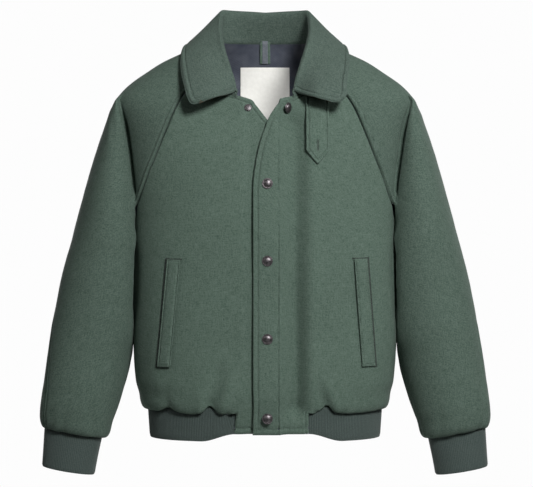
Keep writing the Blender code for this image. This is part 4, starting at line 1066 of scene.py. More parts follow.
def rib_knit(name, colour, pitch):
    """Fine rib knit in worsted wool: matt ridges with painted shade darkening the valleys between them, and
    small loops along them.
    """
    material, tree, shader = new_material(
        name, 0.88, Sheen_Weight=0.20, Sheen_Roughness=0.5, Specular_IOR_Level=0.2,
        Sheen_Tint=mixed(colour, WHITE, 0.5))
    places = node(tree, "TexCoord", output=None)
    parts = node(tree, "SeparateXYZ", {"Vector": places["UV"]}, None)
    waves = []
    for axis, wave, size in (("X", "COSINE", pitch), ("Y", "SINE", KNIT_LOOP)):
        turn = node(tree, "Math", {0: parts[axis], 1: 2 * math.pi / size}, operation="MULTIPLY")
        waves.append(node(tree, "Math", {0: turn}, operation=wave))
    fibres = node(tree, "TexNoise", {"Vector": places["Object"], "Scale": 1 / KNIT_LOOP, "Detail": 2.0})
    # The colour follows the ribs, darker in the valleys: painted shade; the loops only raise the surface.
    tone, height = (node(tree, "Math", {0: wave, 1: share, 2: fibres}, operation="MULTIPLY_ADD")
                    for wave, share in zip(waves, (0.17, 0.25)))
    finish_surface(tree, shader, shades(tree, colour, tone, 0.15, 0.85, 0.30, 0.03), height, 0.30 * MM)
    return material


def satin(name, colour):
    """Woven satin lining: smooth floats with a soft shine and the faint diagonal of the weave."""
    material, tree, shader = new_material(name, 0.42, Specular_IOR_Level=0.45, Sheen_Weight=0.12,
                                          Sheen_Roughness=0.3)
    places = node(tree, "TexCoord", output=None)
    # Threads lie 0.25 mm apart; the diagonal is drawn every 1.4 mm so that it shows.
    turned = node(tree, "Mapping", {"Vector": places["UV"], "Rotation": (0, 0, math.radians(58))})
    wave = node(tree, "TexWave", {"Vector": turned, "Scale": per_mm(1.4) / 6.3, "Distortion": 1.5,
                                  "Detail": 1.0}, "Fac")
    cloud = node(tree, "TexNoise", {"Vector": places["Object"], "Scale": per_mm(22), "Detail": 3.0})
    tone = node(tree, "Math", {0: wave, 1: 0.18, 2: cloud}, operation="MULTIPLY_ADD")
    finish_surface(tree, shader, shades(tree, colour, tone, 0.30, 0.90, 0.25, 0.06), tone, 0.12 * MM)
    return material


def woven(name, colour, thread_width):
    """Plain woven tape or label: tight over-and-under threads, a little raised."""
    material, tree, shader = new_material(name, 0.7, Specular_IOR_Level=0.3, Sheen_Weight=0.1)
    uv = node(tree, "TexCoord", output="UV")
    parts = node(tree, "SeparateXYZ", {"Vector": uv}, None)
    waves = {}
    for axis, size in (("X", thread_width), ("Y", thread_width * 1.3)):
        turn = node(tree, "Math", {0: parts[axis], 1: math.pi / size}, operation="MULTIPLY")
        waves[len(waves)] = node(tree, "Math", {0: turn}, operation="SINE")
    cross = node(tree, "Math", waves, operation="MULTIPLY")
    noise = node(tree, "TexNoise", {"Vector": uv, "Scale": per_mm(6), "Detail": 2.0})
    tone = node(tree, "Math", {0: cross, 1: 0.25, 2: noise}, operation="MULTIPLY_ADD")
    finish_surface(tree, shader, shades(tree, colour, tone, 0.1, 0.9, 0.10, 0.10), tone, 0.10 * MM)
    return material


def gunmetal(name, colour):
    """Brass snap cap, stamped and plated in dark gunmetal: satin, mottled, lighter where it is rubbed."""
    material, tree, shader = new_material(name, 0.38, Metallic=0.85)
    mottle = node(tree, "TexNoise", {"Vector": node(tree, "TexCoord", output="Object"), "Scale": per_mm(2.4),
                                     "Detail": 3.0, "Roughness": 0.65})
    rough = node(tree, "MapRange", {"Value": mottle, "To Min": 0.30, "To Max": 0.52})
    tree.links.new(rough, shader["Roughness"])
    finish_surface(tree, shader, shades(tree, colour, mottle, 0.38, 0.66, 0.40, 0.07), mottle, 0.05 * MM)
    return material


def thread(name, colour):
    """Core-spun polyester sewing thread: a slight shine and a fine twist."""
    material, tree, shader = new_material(name, 0.55, Specular_IOR_Level=0.35, Sheen_Weight=0.15)
    twist = node(tree, "TexNoise", {"Vector": node(tree, "TexCoord", output="Object"), "Scale": per_mm(0.8),
                                    "Detail": 1.0})
    tree.links.new(shades(tree, colour, twist, 0.0, 1.0, 0.25, 0.06), shader["Base Color"])
    return material


def cloth_and_sizes(context):
    """The materials that the pieces share, in the panel's colours, and the panel's sizes."""
    colours, sizes = context.scene.jacket_colours, context.scene.jacket_sizes
    tints = {key: (*getattr(colours, key), 1.0) for key in JacketColours.__annotations__}
    # painted shade: the body melton darkened to near black, for thin sheets that stand in for the shade in
    # the pocket openings, above the welts and in the buttonhole
    tints["slot"] = mixed(tints["melton"], BLACK, 0.75)
    makers = {
        "melton": ("wool_melton_milled", melton),
        # The sleeve and collar melton are the body's melton made darker: painted shade.
        "sleeve": ("wool_melton_milled_sleeve", melton),
        "collar": ("wool_melton_milled_collar", melton),
        "undercollar": ("undercollar_felt_pressed", melton),
        "rib": ("worsted_rib_knit", rib_knit, sizes.rib_pitch),
        "lining": ("viscose_satin_woven", satin),
        "label": ("label_damask_woven", woven, 0.8 * MM),
        "tape": ("loop_tape_woven", woven, 1.2 * MM),
        "thread": ("polyester_thread_spun", thread),
        "slot": ("pocket_facing_melton", melton),
        "snap": ("brass_cap_gunmetal_plated", gunmetal),
    }
    cloth = {key: bpy.data.materials.get(name) or make(name, tints[key], *values)
             for key, (name, make, *values) in makers.items()}
    return cloth, sizes


# ---- body panels

def panel_x(side, grid):
    """Distance from the centre line towards a piece's own side."""
    return grid[..., 0] * mirror_of(side)


def curl_rows(face, last, strip_end):
    """Rows round the roll over the rib, from the x of the last straight row's points."""
    rows = []
    share_of_side = (last / TORSO["side"](LAST_STRAIGHT_Z)).clip(-1, 1)
    angle = np.sign(share_of_side) * np.arcsin(np.abs(share_of_side) ** (RIB["square"] / 2))
    for turn in np.linspace(0, 1, CURL_ROWS + 1):
        drop, overhang, tuck = curl(turn)
        out = BLOUSE * overhang - tuck * (BLOUSE * CURL_LEFT + RIB_WALL)
        blouse = rib_point(angle, face, out)
        share = strip_share(last, strip_end)[:, None] if face == "front" else 1.0
        z = BULGE_TOP_Z + (BULGE_Z - BULGE_TOP_Z) * (drop * share + turn * (1 - share))
        z = z[:, 0] if face == "front" else z
        flat = np.stack([last, strip_outline(TORSO["side"](BULGE_TOP_Z), z, angle)], 1)
        rows.append((blouse * share + flat * (1 - share), z))
    return rows


def fill_rows(above, below, count):
    """Rows between two rows of points, without either."""
    return [above + (below - above) * t for t in np.linspace(0, 1, count + 2)[1:-1]]


def lower_body(grid, piece, side, strip_end):
    """Raise and lower the roll over the rib where the cloth is pinched."""
    x = panel_x(side, grid)
    share = strip_share(np.abs(x), strip_end) if strip_end else 1.0
    down = ease((WAVE_TOP_Z - grid[..., 2]) / WAVE_FADE)
    grid = grid.copy()
    grid[..., 2] += hem_wave(piece, x) * down * share
    return grid


def front_grid(side):
    """Points of a front, its kept cells, and where the plain strip ends."""
    mirror, strip_end = mirror_of(side), STRIP_LEFT if side == "left" else STRIP_RIGHT
    start_x = EDGE[side](LAST_STRAIGHT_Z)
    start_angle = torso_angle_at_x(LAST_STRAIGHT_Z, "front", start_x)
    bottom = torso_line(LAST_STRAIGHT_Z, "front", start_angle, math.pi / 2)
    strip_part = (strip_end - start_x) / length_along(bottom)[-1]
    on_strip = crowd(54 if side == "left" else 36, 2.5, 0.8, 0.12)[:-1]
    if side == "left":
        stitched = (PLACKET_STITCH_X - start_x) / (strip_end - start_x)
        on_strip = np.unique(np.concatenate((on_strip, stitched + np.linspace(-0.035, 0.035, 11))))
    strip_columns = len(on_strip)
    beyond = strip_part + (1 - strip_part) * crowd(54, 0.3, 3.0, 0.07)
    fractions = np.concatenate((strip_part * on_strip, beyond))
    rows = []
    corner = list(np.linspace(NECK_CORNER_TOP_Z, NECK_CORNER_Z, 26)[:-1])
    for z in (rows_between(RAGLAN_TOP_Z, NECK_CORNER_TOP_Z) + corner +
              rows_between(NECK_CORNER_Z, LAST_STRAIGHT_Z) + [LAST_STRAIGHT_Z]):
        line = torso_line(z, "front", neck_angle(z, "front", side), seam_angle(z, "front"))
        points = cut_line(line, fractions, (SEAM_GAP / 2, fold_gap(z, "front")))
        rows.append(place(points, z, "front", mirror))
    curl_lines = curl_rows("front", rows[-1][:, 0] * mirror, strip_end)
    curled = [place(line, z, "front", mirror) for line, z in curl_lines]
    rows += fill_rows(rows[-1], curled[0], 4) + curled
    body_rows = len(rows)
    reach = TORSO["side"](LAST_STRAIGHT_Z)
    for z in np.linspace(BULGE_Z, STRIP_HEM_Z, 15)[1:]:
        last = rows[-1].copy()
        angle = np.arcsin(np.clip(np.abs(last[:, 0]) / reach, 0, 1) ** (BODY_SQUARE / 2))
        last[:, 1] = -strip_outline(reach, z, angle)
        last[:, 2] = z
        rows.append(last)
    grid = np.array(rows)
    keep = np.ones((len(rows) - 1, len(fractions) - 1), bool)
    keep[body_rows - 1:, strip_columns:] = False
    return grid, keep, strip_columns, body_rows, strip_end


def make_front(side, cloth, pitch, strength):
    piece = "front_" + side
    grid, keep, strip_columns, body_rows, strip_end = front_grid(side)
    grid[:body_rows] = even_rows(grid[:body_rows], 2)
    flip = side == "left"
    if flip:
        grid, keep = grid[:, ::-1], keep[:, ::-1]
    first, last = (-1, 0) if flip else (0, -1)
    relief = lap_relief(grid[..., 0], side) + fold_relief("front", grid[..., 0], grid[..., 2])
    relief += strength * crease_relief(piece, panel_x(side, grid), grid[..., 2])
    below_arm = ease((UNDERARM_Z - grid[..., 2]) / CONTACT_FADE)
    relief -= CONTACT_DEPTH * fold_share(grid, "front", mirror_of(side)) * below_arm
    calm = ease((grid[..., 2] - STRIP_HEM_Z) / 0.02)
    relief += strength * hand_relief(grid, 0.7 if side == "left" else 2.9) * calm
    grid = raised(grid, relief)
    grid = strip_slant(lower_body(grid, piece, side, strip_end))
    strip = slice(None, strip_columns + 1) if not flip else slice(-strip_columns - 1, None)
    lead = grid[:, first]
    bottom = grid[-1, strip]
    strip_side = grid[body_rows - 1:, strip_columns if not flip else -strip_columns - 1]
    seam = grid[:body_rows, last]
    from_lead = distance_to(grid, lead)
    free = np.minimum(from_lead, distance_to(grid, bottom) * (edge_inset() / HEM_STITCH))
    stitched = [(free, edge_inset())]
    if side == "left":
        stitched.append((np.abs(grid[..., 0] - PLACKET_STITCH_X), 0.0))
        beside_rib = distance_to(grid, strip_side)
        stitched.append((beside_rib, STRIP_STITCH))
    outer, inner, normals = sew(grid, [seam, strip_side], [lead, bottom], stitched)
    obj = add_shell(piece + "_panel", outer, inner, [cloth["melton"], cloth["lining"]], keep)
    finish_piece(obj, "melton", piece)
    lines = contours(outer, normals, free, edge_inset(), keep)
    if side == "left":
        lines += contours(outer, normals, grid[..., 0], PLACKET_STITCH_X, keep)
        below = keep & (grid[:-1, :-1, 2] < STRIP_STITCH_TOP_Z)
        inside = grid[:-1, :-1, 0] < strip_end
        lines += contours(outer, normals, beside_rib, STRIP_STITCH, below & inside)
    add_stitches(piece + "_topstitching", lines, cloth["thread"], "melton", pitch)


def edge_inset():
    """Inset of the topstitching inside a free edge, as the panel shows it."""
    return bpy.context.scene.jacket_sizes.edge_stitch


def back_dip(grid):
    """Share of the seams' dip at the back: none where the raglan seam turns under the arm."""
    return 1 - ease(2 - np.abs(grid[..., 2] - DIVE_Z) / DIVE_REACH)


def make_back(cloth, strength):
    half = crowd(58, 0.0, 3.0, 0.06)
    rows = []
    for z in rows_between(NECK_Z, LAST_STRAIGHT_Z) + [LAST_STRAIGHT_Z]:
        line = torso_line(z, "back", 0.0, seam_angle(z, "back"))
        points = cut_line(line, half, (0.0, fold_gap(z, "back")))
        rows.append(place(np.concatenate((points[:0:-1] * (-1, 1), points)), z, "back", 1))
    curled = [place(line, z, "back", 1) for line, z in curl_rows("back", rows[-1][:, 0], 0.0)]
    rows += fill_rows(rows[-1], curled[0], 4) + curled
    grid = even_rows(np.array(rows), 2)
    relief = fold_relief("back", grid[..., 0], grid[..., 2])
    relief += strength * crease_relief("back", grid[..., 0], grid[..., 2])
    relief += strength * hand_relief(grid, 5.1)
    grid = raised(grid, relief)
    grid = lower_body(grid, "back", "left", 0.0)
    outer, inner, _ = sew(grid, [grid[:, 0], grid[:, -1], grid[0]], dip=back_dip(grid))
    obj = add_shell("back_panel", outer, inner, [cloth["melton"], cloth["lining"]])
    finish_piece(obj, "melton", "back")


# ---- sleeves, cuffs and hem rib

def overarm_angle(z, face):
    """The overarm seam turns towards the front on the lower sleeve."""
    turn = OVERARM_TURN * ease((OVERARM_TURN_TOP_Z - z) / 0.20)
    return turn if face == "front" else -turn


def sleeve_fractions(fold):
    body = fold * crowd(FOLD_COLUMN, 3.0, 3.5, 0.20)[:-1]
    return np.concatenate((body, fold + (1 - fold) * crowd(60, 4.5, 3.0, 0.09)))


def tilt_row(row, sizes, z, mirror):
    """Lean a sleeve's section so that it stays square to the arm."""
    centre = sizes["outer"](z) - sizes["width"](z) / 2
    row[:, 2] += sizes["tilt"](z) * (row[:, 0] * mirror - centre)
    return row


def raise_end(grid):
    """Raise a sleeve's lower end and its cuff a little, the inner side more."""
    grid = grid.copy()
    inner = np.clip((SLEEVE_OUTER_X - np.abs(grid[..., 0])) / SLEEVE_SPAN, 0, 1)
    z = grid[..., 2].copy()
    grid[..., 2] += (END_RISE + END_RISE_INNER * inner) * ease((END_RISE_TOP_Z - z) / 0.09)
    grid[..., 2] -= CUFF_LONGER * ease((CUFF_LONGER_TOP_Z - z) / 0.05)
    return grid


def sleeve_curl(face, mirror, turn):
    """A row of the roll over the cuff."""
    drop, over, tuck = curl(turn)
    z = SLEEVE_CURL_TOP_Z + (SLEEVE_CURL_Z - SLEEVE_CURL_TOP_Z) * drop
    overarm = overarm_angle(SLEEVE_CURL_TOP_Z, face)
    wide = arm_line(ARM, SLEEVE_CURL_TOP_Z, face, math.pi, overarm)
    narrow = arm_line(CUFF, CUFF_TOP_Z, face, math.pi, overarm)
    line = (wide * over + narrow * (1 - over)) * (1 - tuck) + inset(narrow, face, RIB_WALL) * tuck
    row = place(cut_line(line, sleeve_fractions(SLEEVE_FOLD), (SEAM_GAP / 2, SEAM_GAP)), z, face, mirror)
    return tilt_row(row, CUFF, CUFF_TOP_Z, mirror)


def inset(line, face, amount):
    """Move an oval's outline towards its middle."""
    middle = CUFF["outer"](CUFF_TOP_Z) - CUFF["width"](CUFF_TOP_Z) / 2
    drift = CUFF["drift"](CUFF_TOP_Z) * (-1 if face == "front" else 1)
    away = line - (middle, drift)
    return line - away / np.linalg.norm(away, axis=1, keepdims=True) * amount


def fold_share(grid, face, mirror):
    """1 along the line where the hanging sleeve folds against the body, 0 away from it."""
    line = []
    for z in np.linspace(FOLD_START_Z, CONTACT_END_Z, 130):
        line.append(place(crease(z, face)[1][:1], z, face, mirror)[0])
    z = grid[..., 2]
    ends = ease((FOLD_START_Z - z) / FOLD_FADE) * ease((z - CONTACT_END_Z) / FOLD_FADE)
    width = FOLD_WIDTH + CONTACT_WIDER * ease((DIVE_Z + FOLD_BLEND - z) / (2 * FOLD_BLEND))
    return ends * bell(distance_to(grid, np.array(line)), width)


def make_sleeve_half(side, face, cloth, pitch, strength):
    mirror = mirror_of(side)
    piece = f"sleeve_{face}_{side}"
    rows = []
    for z in rows_between(SLEEVE_TOP_Z if face == "front" else NECK_Z, LAST_SLEEVE_Z) + [LAST_SLEEVE_Z]:
        line, fold = sleeve_line(z, face, overarm_angle(z, face))
        row = place(cut_line(line, sleeve_fractions(fold), (fold_gap(z, face), 0.0)), z, face, mirror)
        rows.append(tilt_row(row, ARM, z, mirror) if z < UNDERARM_Z else row)
    rows += [sleeve_curl(face, mirror, turn) for turn in np.linspace(0, 1, CURL_ROWS + 1)[1:]]
    grid = raise_end(even_rows(np.array(rows), 3))
    first, last = 0, -1
    if mirror * (-1 if face == "front" else 1) < 0:
        grid = grid[:, ::-1]
        first, last = -1, 0
    relief = strength * crease_relief(piece, panel_x(side, grid), grid[..., 2])
    z = grid[..., 2]
    fold_depth = FOLD_DEPTH * (1.0 if face == "front" else BACK_FOLD)
    deep = fold_depth * ease((z - FOLD_END_Z) / FOLD_FADE)
    deep += CONTACT_DEPTH * ease((UNDERARM_Z - z) / CONTACT_FADE)
    relief -= deep * fold_share(grid, face, mirror)
    seed = {"front_left": 1.1, "front_right": 4.2, "back_left": 3.3, "back_right": 0.4}[f"{face}_{side}"]
    down = ease((SLEEVE_CALM_Z - grid[..., 2]) / 0.08)
    relief += strength * hand_relief(grid, seed) * down
    grid = raised(grid, relief)
    raglan, overarm = grid[:, first], grid[:, last]
    from_raglan, from_overarm = distance_to(grid, raglan), distance_to(grid, overarm)
    above_fold = ease((grid[..., 2] - DIVE_Z) / 0.02)
    swell = RAGLAN_SWELL * above_fold * bell(from_raglan - 0.5 * RAGLAN_STITCH, PAD_WIDTH)
    grid = raised(grid, swell)
    grooves = [(from_raglan + 0.05 * (1 - above_fold), RAGLAN_STITCH)]
    if face == "front":
        grooves.append((from_overarm, OVERARM_STITCH))
    if piece == "sleeve_front_left":
        grooves.append((from_raglan + 0.3 * np.clip(grid[..., 2] - UNDERARM_STITCH_Z, 0, 1), UNDERARM_STITCH))
    dip = back_dip(grid) if face == "back" else 1.0
    outer, inner, normals = sew(grid, [raglan, overarm, grid[0]], (), grooves, dip=dip)
    obj = add_shell(piece + "_panel", outer, inner, [cloth["sleeve"], cloth["lining"]])
    finish_piece(obj, "melton", piece)
    above = grid[:-1, :-1, 2] > DIVE_Z
    lines = contours(outer, normals, from_raglan, RAGLAN_STITCH, above)
    if face == "front":
        lines += contours(outer, normals, from_overarm, OVERARM_STITCH)
    add_stitches(piece + "_topstitching", lines, cloth["thread"], "melton", pitch)


def rib_relief(run, pitch):
    """Ridges of the rib knit along a closed or open run of length."""
    return RIB_RELIEF * np.cos(2 * math.pi * run / pitch)


def knit_lengths(across, grid):
    """Lengths for the knit, with the ribs exactly on the ridges of the surface."""
    down = cloth_lengths(grid)[..., 1]
    return np.stack([np.broadcast_to(across, down.shape), down], axis=-1)


def knit_shell(name, grid, run, ribs, pitch, relief, free_edge, cloth, wrap=False):
    """Wall of rib knit on a grid; run is the length at each column, then that of the whole piece."""
    normals = grid_normals(grid, wrap)
    rounding = edge_round(distance_to(grid, free_edge), RIB_WALL)
    outer = grid + normals * (relief * (1 - rounding / RIB_WALL) - rounding)[..., None]
    inner = grid - normals * (RIB_WALL - rounding)[..., None]
    uv = knit_lengths(run[:grid.shape[1]] * (ribs * pitch / run[-1]), grid)
    return add_shell(name, outer, inner, [cloth["rib"]], wrap=wrap, uv=uv)


def make_cuff(side, cloth, pitch):
    mirror = mirror_of(side)
    fractions = np.linspace(0, 1, CUFF_HALF_COLUMNS + 1)
    rows = []
    for z in np.linspace(CUFF_TOP_Z, CUFF_BOTTOM_Z, 19):
        halves = []
        for face in ("front", "back"):
            line = arm_line(CUFF, z, face, math.pi, 0)
            halves.append(place(cut_line(line, fractions, (0, 0)), z, face, mirror))
        rows.append(tilt_row(np.concatenate((halves[0], halves[1][-2:0:-1])), CUFF, z, mirror))
    grid = np.array(rows)
    grid[..., 2] -= 2 * SEAM_GAP
    grid = raise_end(grid)
    if mirror < 0:
        grid = grid[:, ::-1]
    around = length_along(np.concatenate((grid[0], grid[0, :1])))
    ribs = round(around[-1] / pitch)
    level = np.linspace(0, 1, len(rows))[:, None]
    relief = rib_relief(around[:-1], around[-1] / ribs)[None, :] * np.ones(grid.shape[:2])
    relief = relief + 0.8 * MM * np.sin(level * math.pi) * np.sin(around[:-1] / 0.019 + 1.3)[None, :]
    opening = np.concatenate((grid[-1], grid[-1, :1]))
    obj = knit_shell(f"cuff_{side}_rib", grid, around, ribs, pitch, relief, opening, cloth, wrap=True)
    finish_piece(obj, "rib_knit", "cuff_" + side)


def rib_angle(x):
    return math.asin((x / RIB["side"]) ** (RIB["square"] / 2))


def make_hem_rib(cloth, pitch):
    """The ribbed band from the end of one front strip, round the back, to the other."""
    left = rib_point(np.linspace(rib_angle(STRIP_LEFT - RIB_TUCK), math.pi / 2, DENSE), "front")
    back = rib_point(np.linspace(math.pi / 2, -math.pi / 2, 2 * DENSE), "back")
    right = rib_point(np.linspace(-math.pi / 2, -rib_angle(STRIP_RIGHT - RIB_TUCK), DENSE), "front")
    line = np.concatenate((left * (1, -1), back[1:], (right * (1, -1))[1:]))
    points = cut_line(line, np.linspace(0, 1, HEM_COLUMNS + 1), (0, 0))
    rows = []
    for part in np.linspace(0, 1, 11):
        scale = 1 - HEM_DRAWN_IN + HEM_DRAWN_IN * part
        z = HEM_Z + (BULGE_Z + RIB_SEWN_IN - HEM_Z) * part
        rows.append(np.column_stack((points * scale, np.full(len(points), z))))
    grid = strip_slant(np.array(rows)[::-1])
    x = grid[..., 0]
    rise = np.where(x > 0, hem_wave("front_left", x) * strip_share(x, STRIP_LEFT),
                    hem_wave("front_right", -x) * strip_share(-x, STRIP_RIGHT))
    rise = np.where(grid[..., 1] > 0, hem_wave("back", x), rise)
    grid[..., 2] += rise * (grid[..., 2] - HEM_Z) / (BULGE_Z - HEM_Z)
    end = np.where(x > 0, x - STRIP_LEFT, -x - STRIP_RIGHT).clip(0)
    end = np.where(grid[..., 1] < 0, end, 1.0)
    low = (BULGE_Z - grid[..., 2]) / (BULGE_Z - HEM_Z)
    grid[..., 2] += RIB_END_RISE * (1 - ease(end / RIB_END_REACH)) * np.clip(low, 0, 1)
    if (grid[..., :2] * grid_normals(grid)[..., :2]).sum() < 0:
        grid = grid[:, ::-1]
    run = length_along(grid[0])
    ribs = round(run[-1] / pitch)
    level = np.linspace(0, 1, len(rows))[:, None]
    relief = rib_relief(run, run[-1] / ribs)[None, :] * np.ones(grid.shape[:2])
    relief = relief + 0.9 * MM * level * np.sin(run / 0.021 + 2.2 * np.sin(run / 0.083))[None, :]
    ends = np.minimum(run, run[-1] - run)[None, :]
    relief = relief * ease(ends / 0.006)
    obj = knit_shell("hem_rib_band", grid, run, ribs, pitch, relief, grid[-1], cloth)
    finish_piece(obj, "rib_knit", "hem_rib")


# ---- collar

def neckline(parts):
    """Points along half the neckline, from the collar's front end to the centre back."""
    line = []
    for z in np.linspace(COLLAR_START_Z, NECK_Z - 0.2 * MM, 160):
        side, depth, square = torso_size(z, "front")
        x, y = oval(side, depth, square, min(neck_angle(z, "front", "left"), math.pi / 2))
        line.append((x, -y, z))
    side, depth, square = torso_size(NECK_Z, "back")
    for angle in np.linspace(math.pi / 2, 0, 160):
        x, y = oval(side, depth, square, angle)
        line.append((x, y, NECK_Z))
    return cut_line(np.array(line), parts, (0, 0))


def collar_profile(neck, part, steps):
    """One cross-section: up the stand, over the roll and down the fall, on the side that shows."""
    roll = np.array([COLLAR[k](part) for k in ("roll_x", "roll_y", "roll_z")])
    edge = np.array([COLLAR[k](part) for k in ("edge_x", "edge_y", "edge_z")])
    out = (edge - roll) * (1, 1, 0)
    out /= np.linalg.norm(out)
    up = np.array([0, 0, 1.0])
    radius = ROLL_RADIUS * (0.6 + 0.4 * ease(part / 0.2))
    start = neck - out * (COLLAR_WALL + 3 * SEAM_GAP) - up * STAND_SEWN_IN
    rolled_in = roll - out * radius - up * radius
    rolled_out = roll + out * radius - up * radius * 0.8
    swell = np.cross(np.cross(out, up), edge - rolled_out)
    swell *= math.copysign(1 / np.linalg.norm(swell), swell[2])
    forward = 1 - ease(part / COLLAR_FRONT_PART)     # the front end bows forwards, not upwards
    swell = swell * (1 - forward) + np.array([0, -1.0, 0]) * forward
    flatter = 0.85 * ease((part - COLLAR_FRONT_PART) / 0.20)
    middle = (rolled_out + edge) / 2 + swell * FALL_SWELL * (1 - flatter)
    guide = np.array([start, (start + rolled_in) / 2, rolled_in, roll, rolled_out, middle, edge])
    run = length_along(guide)
    curve = [smooth(run, guide[:, k]) for k in range(3)]
    stand, over, fall = steps
    at = np.concatenate((run[2] * crowd(stand)[:-1],
                         run[2] + (run[4] - run[2]) * crowd(over)[:-1],
                         run[4] + (run[6] - run[4]) * crowd(fall, 0.0, 3.0, 0.22)))
    return np.stack([c(at) for c in curve], axis=1)


def make_collar(cloth, pitch, strength):
    parts = crowd(110, 6.0, 0.0, 0.06)
    half = [collar_profile(n, p, (12, 12, 34)) for n, p in zip(neckline(parts), parts)]
    grid = np.array(half[:-1] + [row * (-1, 1, 1) for row in half[::-1]])
    grid = even_rows(grid, 2)
    for _ in range(2):
        grid[:, 1:-1] = (grid[:, :-2] + 2 * grid[:, 1:-1] + grid[:, 2:]) / 4
    if grid_normals(grid)[len(half) - 1, -2, 1] < 0:
        grid = grid[::-1]
    grid = raised(grid, 0.6 * strength * hand_relief(grid, 6.0))
    near = np.exp(-((grid - LEAF_CORNER) ** 2).sum(axis=-1) / LEAF_REACH ** 2)
    grid = grid + near[..., None] * LEAF_SHIFT     # the left leaf is cut squarer than the right
    beside_neck = ease((np.abs(grid[..., 0]) - LEAF_FREE_X) / LEAF_FADE)
    grid[..., 1] -= LEAF_FORWARD * ease((LEAF_FREE_Z - grid[..., 2]) / 0.07) * beside_neck
    outer_edge = np.concatenate((grid[0], grid[1:-1, -1], grid[-1][::-1]))
    fall_edge = np.concatenate((grid[0, 20:], grid[1:-1, -1], grid[-1, 20:][::-1]))
    free = distance_to(grid, fall_edge)
    outer, inner, normals = sew(grid, [grid[:, 0]], [outer_edge], [(free, edge_inset())], COLLAR_WALL)
    puff = 0.9 * MM * bell(free - 0.5 * edge_inset(), PAD_WIDTH)
    outer = outer + normals * puff[..., None]
    tuck = grid[:, -1] - grid[:, -2]
    inner[:, -1] += tuck / np.linalg.norm(tuck, axis=1, keepdims=True) * FELT_SHOW
    under = np.arange(grid.shape[1] - 1) >= FALL_COLUMN
    obj = add_shell("collar_shell", outer, inner, [cloth["collar"], cloth["undercollar"]], under=under)
    finish_piece(obj, "melton", "collar")
    lines = contours(outer, normals, free, edge_inset())
    add_stitches("collar_topstitching", lines, cloth["thread"], "melton", pitch)


# ---- trims on the fronts

def front_point(x, z):
    """A point on the front of the form, and the way it faces."""
    def at(px, pz):
        side, depth, square = torso_size(pz, "front")
        return np.array([px, -depth * (1 - (abs(px) / side) ** square) ** (1 / square), pz])
    here = at(x, z)
    normal = np.cross(at(x + MM, z) - here, at(x, z + MM) - here)
    return here, normal / np.linalg.norm(normal)


def relief_at(x, z, side):
    """How far the cloth of a front stands out from the form at one point."""
    x, z = np.array([x]), np.array([z])
    return (lap_relief(x, side) + fold_relief("front", x, z))[0]


def laid_grid(rows, side, lift):
    """Points of (x, z) rows moved out from the front they lie on."""
    grid = []
    for row in rows:
        line = []
        for x, z in row:
            point, normal = front_point(x, z)
            line.append(point + normal * (relief_at(x, z, side) + lift))
        grid.append(line)
    return np.array(grid)


def border_of(grid):
    """The four sides of a grid, as one line all round."""
    return np.concatenate((grid[0], grid[1:, -1], grid[-1, ::-1][1:], grid[::-1, 0][1:]))


def face_front(grid):
    return grid if grid_normals(grid)[..., 1].sum() < 0 else grid[:, ::-1]


def add_pad(name, grid, thickness, cloth, kind="slot", crown=0.0, nodes=(), stitch_inset=None, pitch=None):
    """A small flat trim with rounded edges and a slight crown, all its borders free."""
    # Unless another kind is given, the pad takes the near-black melton that paints shade.
    grid = face_front(grid)
    border = border_of(grid)
    from_border = distance_to(grid, border)
    grooves = [] if stitch_inset is None else [(from_border, stitch_inset)]
    outer, inner, normals = sew(grid, (), [border], grooves, thickness)
    outer = outer + normals * (crown * ease(from_border / (from_border.max() + 1e-9)))[..., None]
    obj = add_shell(name, outer, inner, [cloth[kind]])
    finish_piece(obj, "melton", *nodes)
    if stitch_inset is not None:
        lines = contours(outer, normals, from_border, stitch_inset)
        add_stitches(name + "_stitching", lines, cloth["thread"], "melton", pitch)


def make_pocket(side, cloth, pitch):
    """A slanted welt, with thin near-black sheets of painted shade in the opening beside it and along its
    top.
    """
    mirror = mirror_of(side)
    top, bottom = WELT_ENDS[side]

    def strip(offset, width, count, ends=0.0):
        rows = []
        for t in np.linspace(-ends, 1 + ends, 110):
            x = top[0] + (bottom[0] - top[0]) * t
            z = top[1] + (bottom[1] - top[1]) * t
            across = offset + width * crowd(count, 1.5, 1.5, 0.2) - width / 2
            rows.append([(mirror * (x + a), z + 0.02 * a) for a in across])
        return rows
    name = "pocket_welt_" + side
    grid = laid_grid(strip(0.0, WELT_WIDTH, 22), side, WELT_LIFT + WELT_WALL)
    add_pad(name + "_cloth", grid, WELT_WALL, cloth, "melton", 0.5 * MM, [name], WELT_STITCH, pitch)
    # Painted shade: a near-black sheet in the opening beside the welt, and a painted shadow line above its
    # top.
    slot = laid_grid(strip(OPENING_BESIDE, OPENING_WIDTH, 6, 0.012), side, OPENING_LIFT)
    add_pad("pocket_opening_" + side, slot, 0.5 * MM, cloth)
    above = laid_grid([[(mirror * (top[0] + a), top[1] + b) for a in np.linspace(-0.0125, 0.0145, 20)]
                       for b in (0.0016, 0.0009, 0.0002, -0.0005)], side, OPENING_LIFT)
    add_pad("pocket_head_" + side, above, 0.5 * MM, cloth)


def make_throat_tab(cloth, pitch):
    """Pointed tab with a worked buttonhole."""
    rows = []
    heights = (np.linspace(TAB_TOP_Z, TAB_SHOULDER_Z, 60), np.linspace(TAB_SHOULDER_Z, TAB_TIP_Z, 22)[1:])
    for z in np.concatenate(heights):
        share = np.clip((z - TAB_TIP_Z) / (TAB_SHOULDER_Z - TAB_TIP_Z), 0.05, 1.0) ** 0.8
        across = (crowd(34, 1.5, 1.5, 0.16) - 0.5) * TAB_WIDTH * share
        rows.append([(TAB_X + a, z) for a in across])
    grid = laid_grid(rows, "left", TAB_LIFT + TAB_WALL)
    add_pad("throat_tab_cloth", grid, TAB_WALL, cloth, "melton", 0.4 * MM, ["throat_tab"], TAB_STITCH, pitch)
    make_buttonhole(cloth)


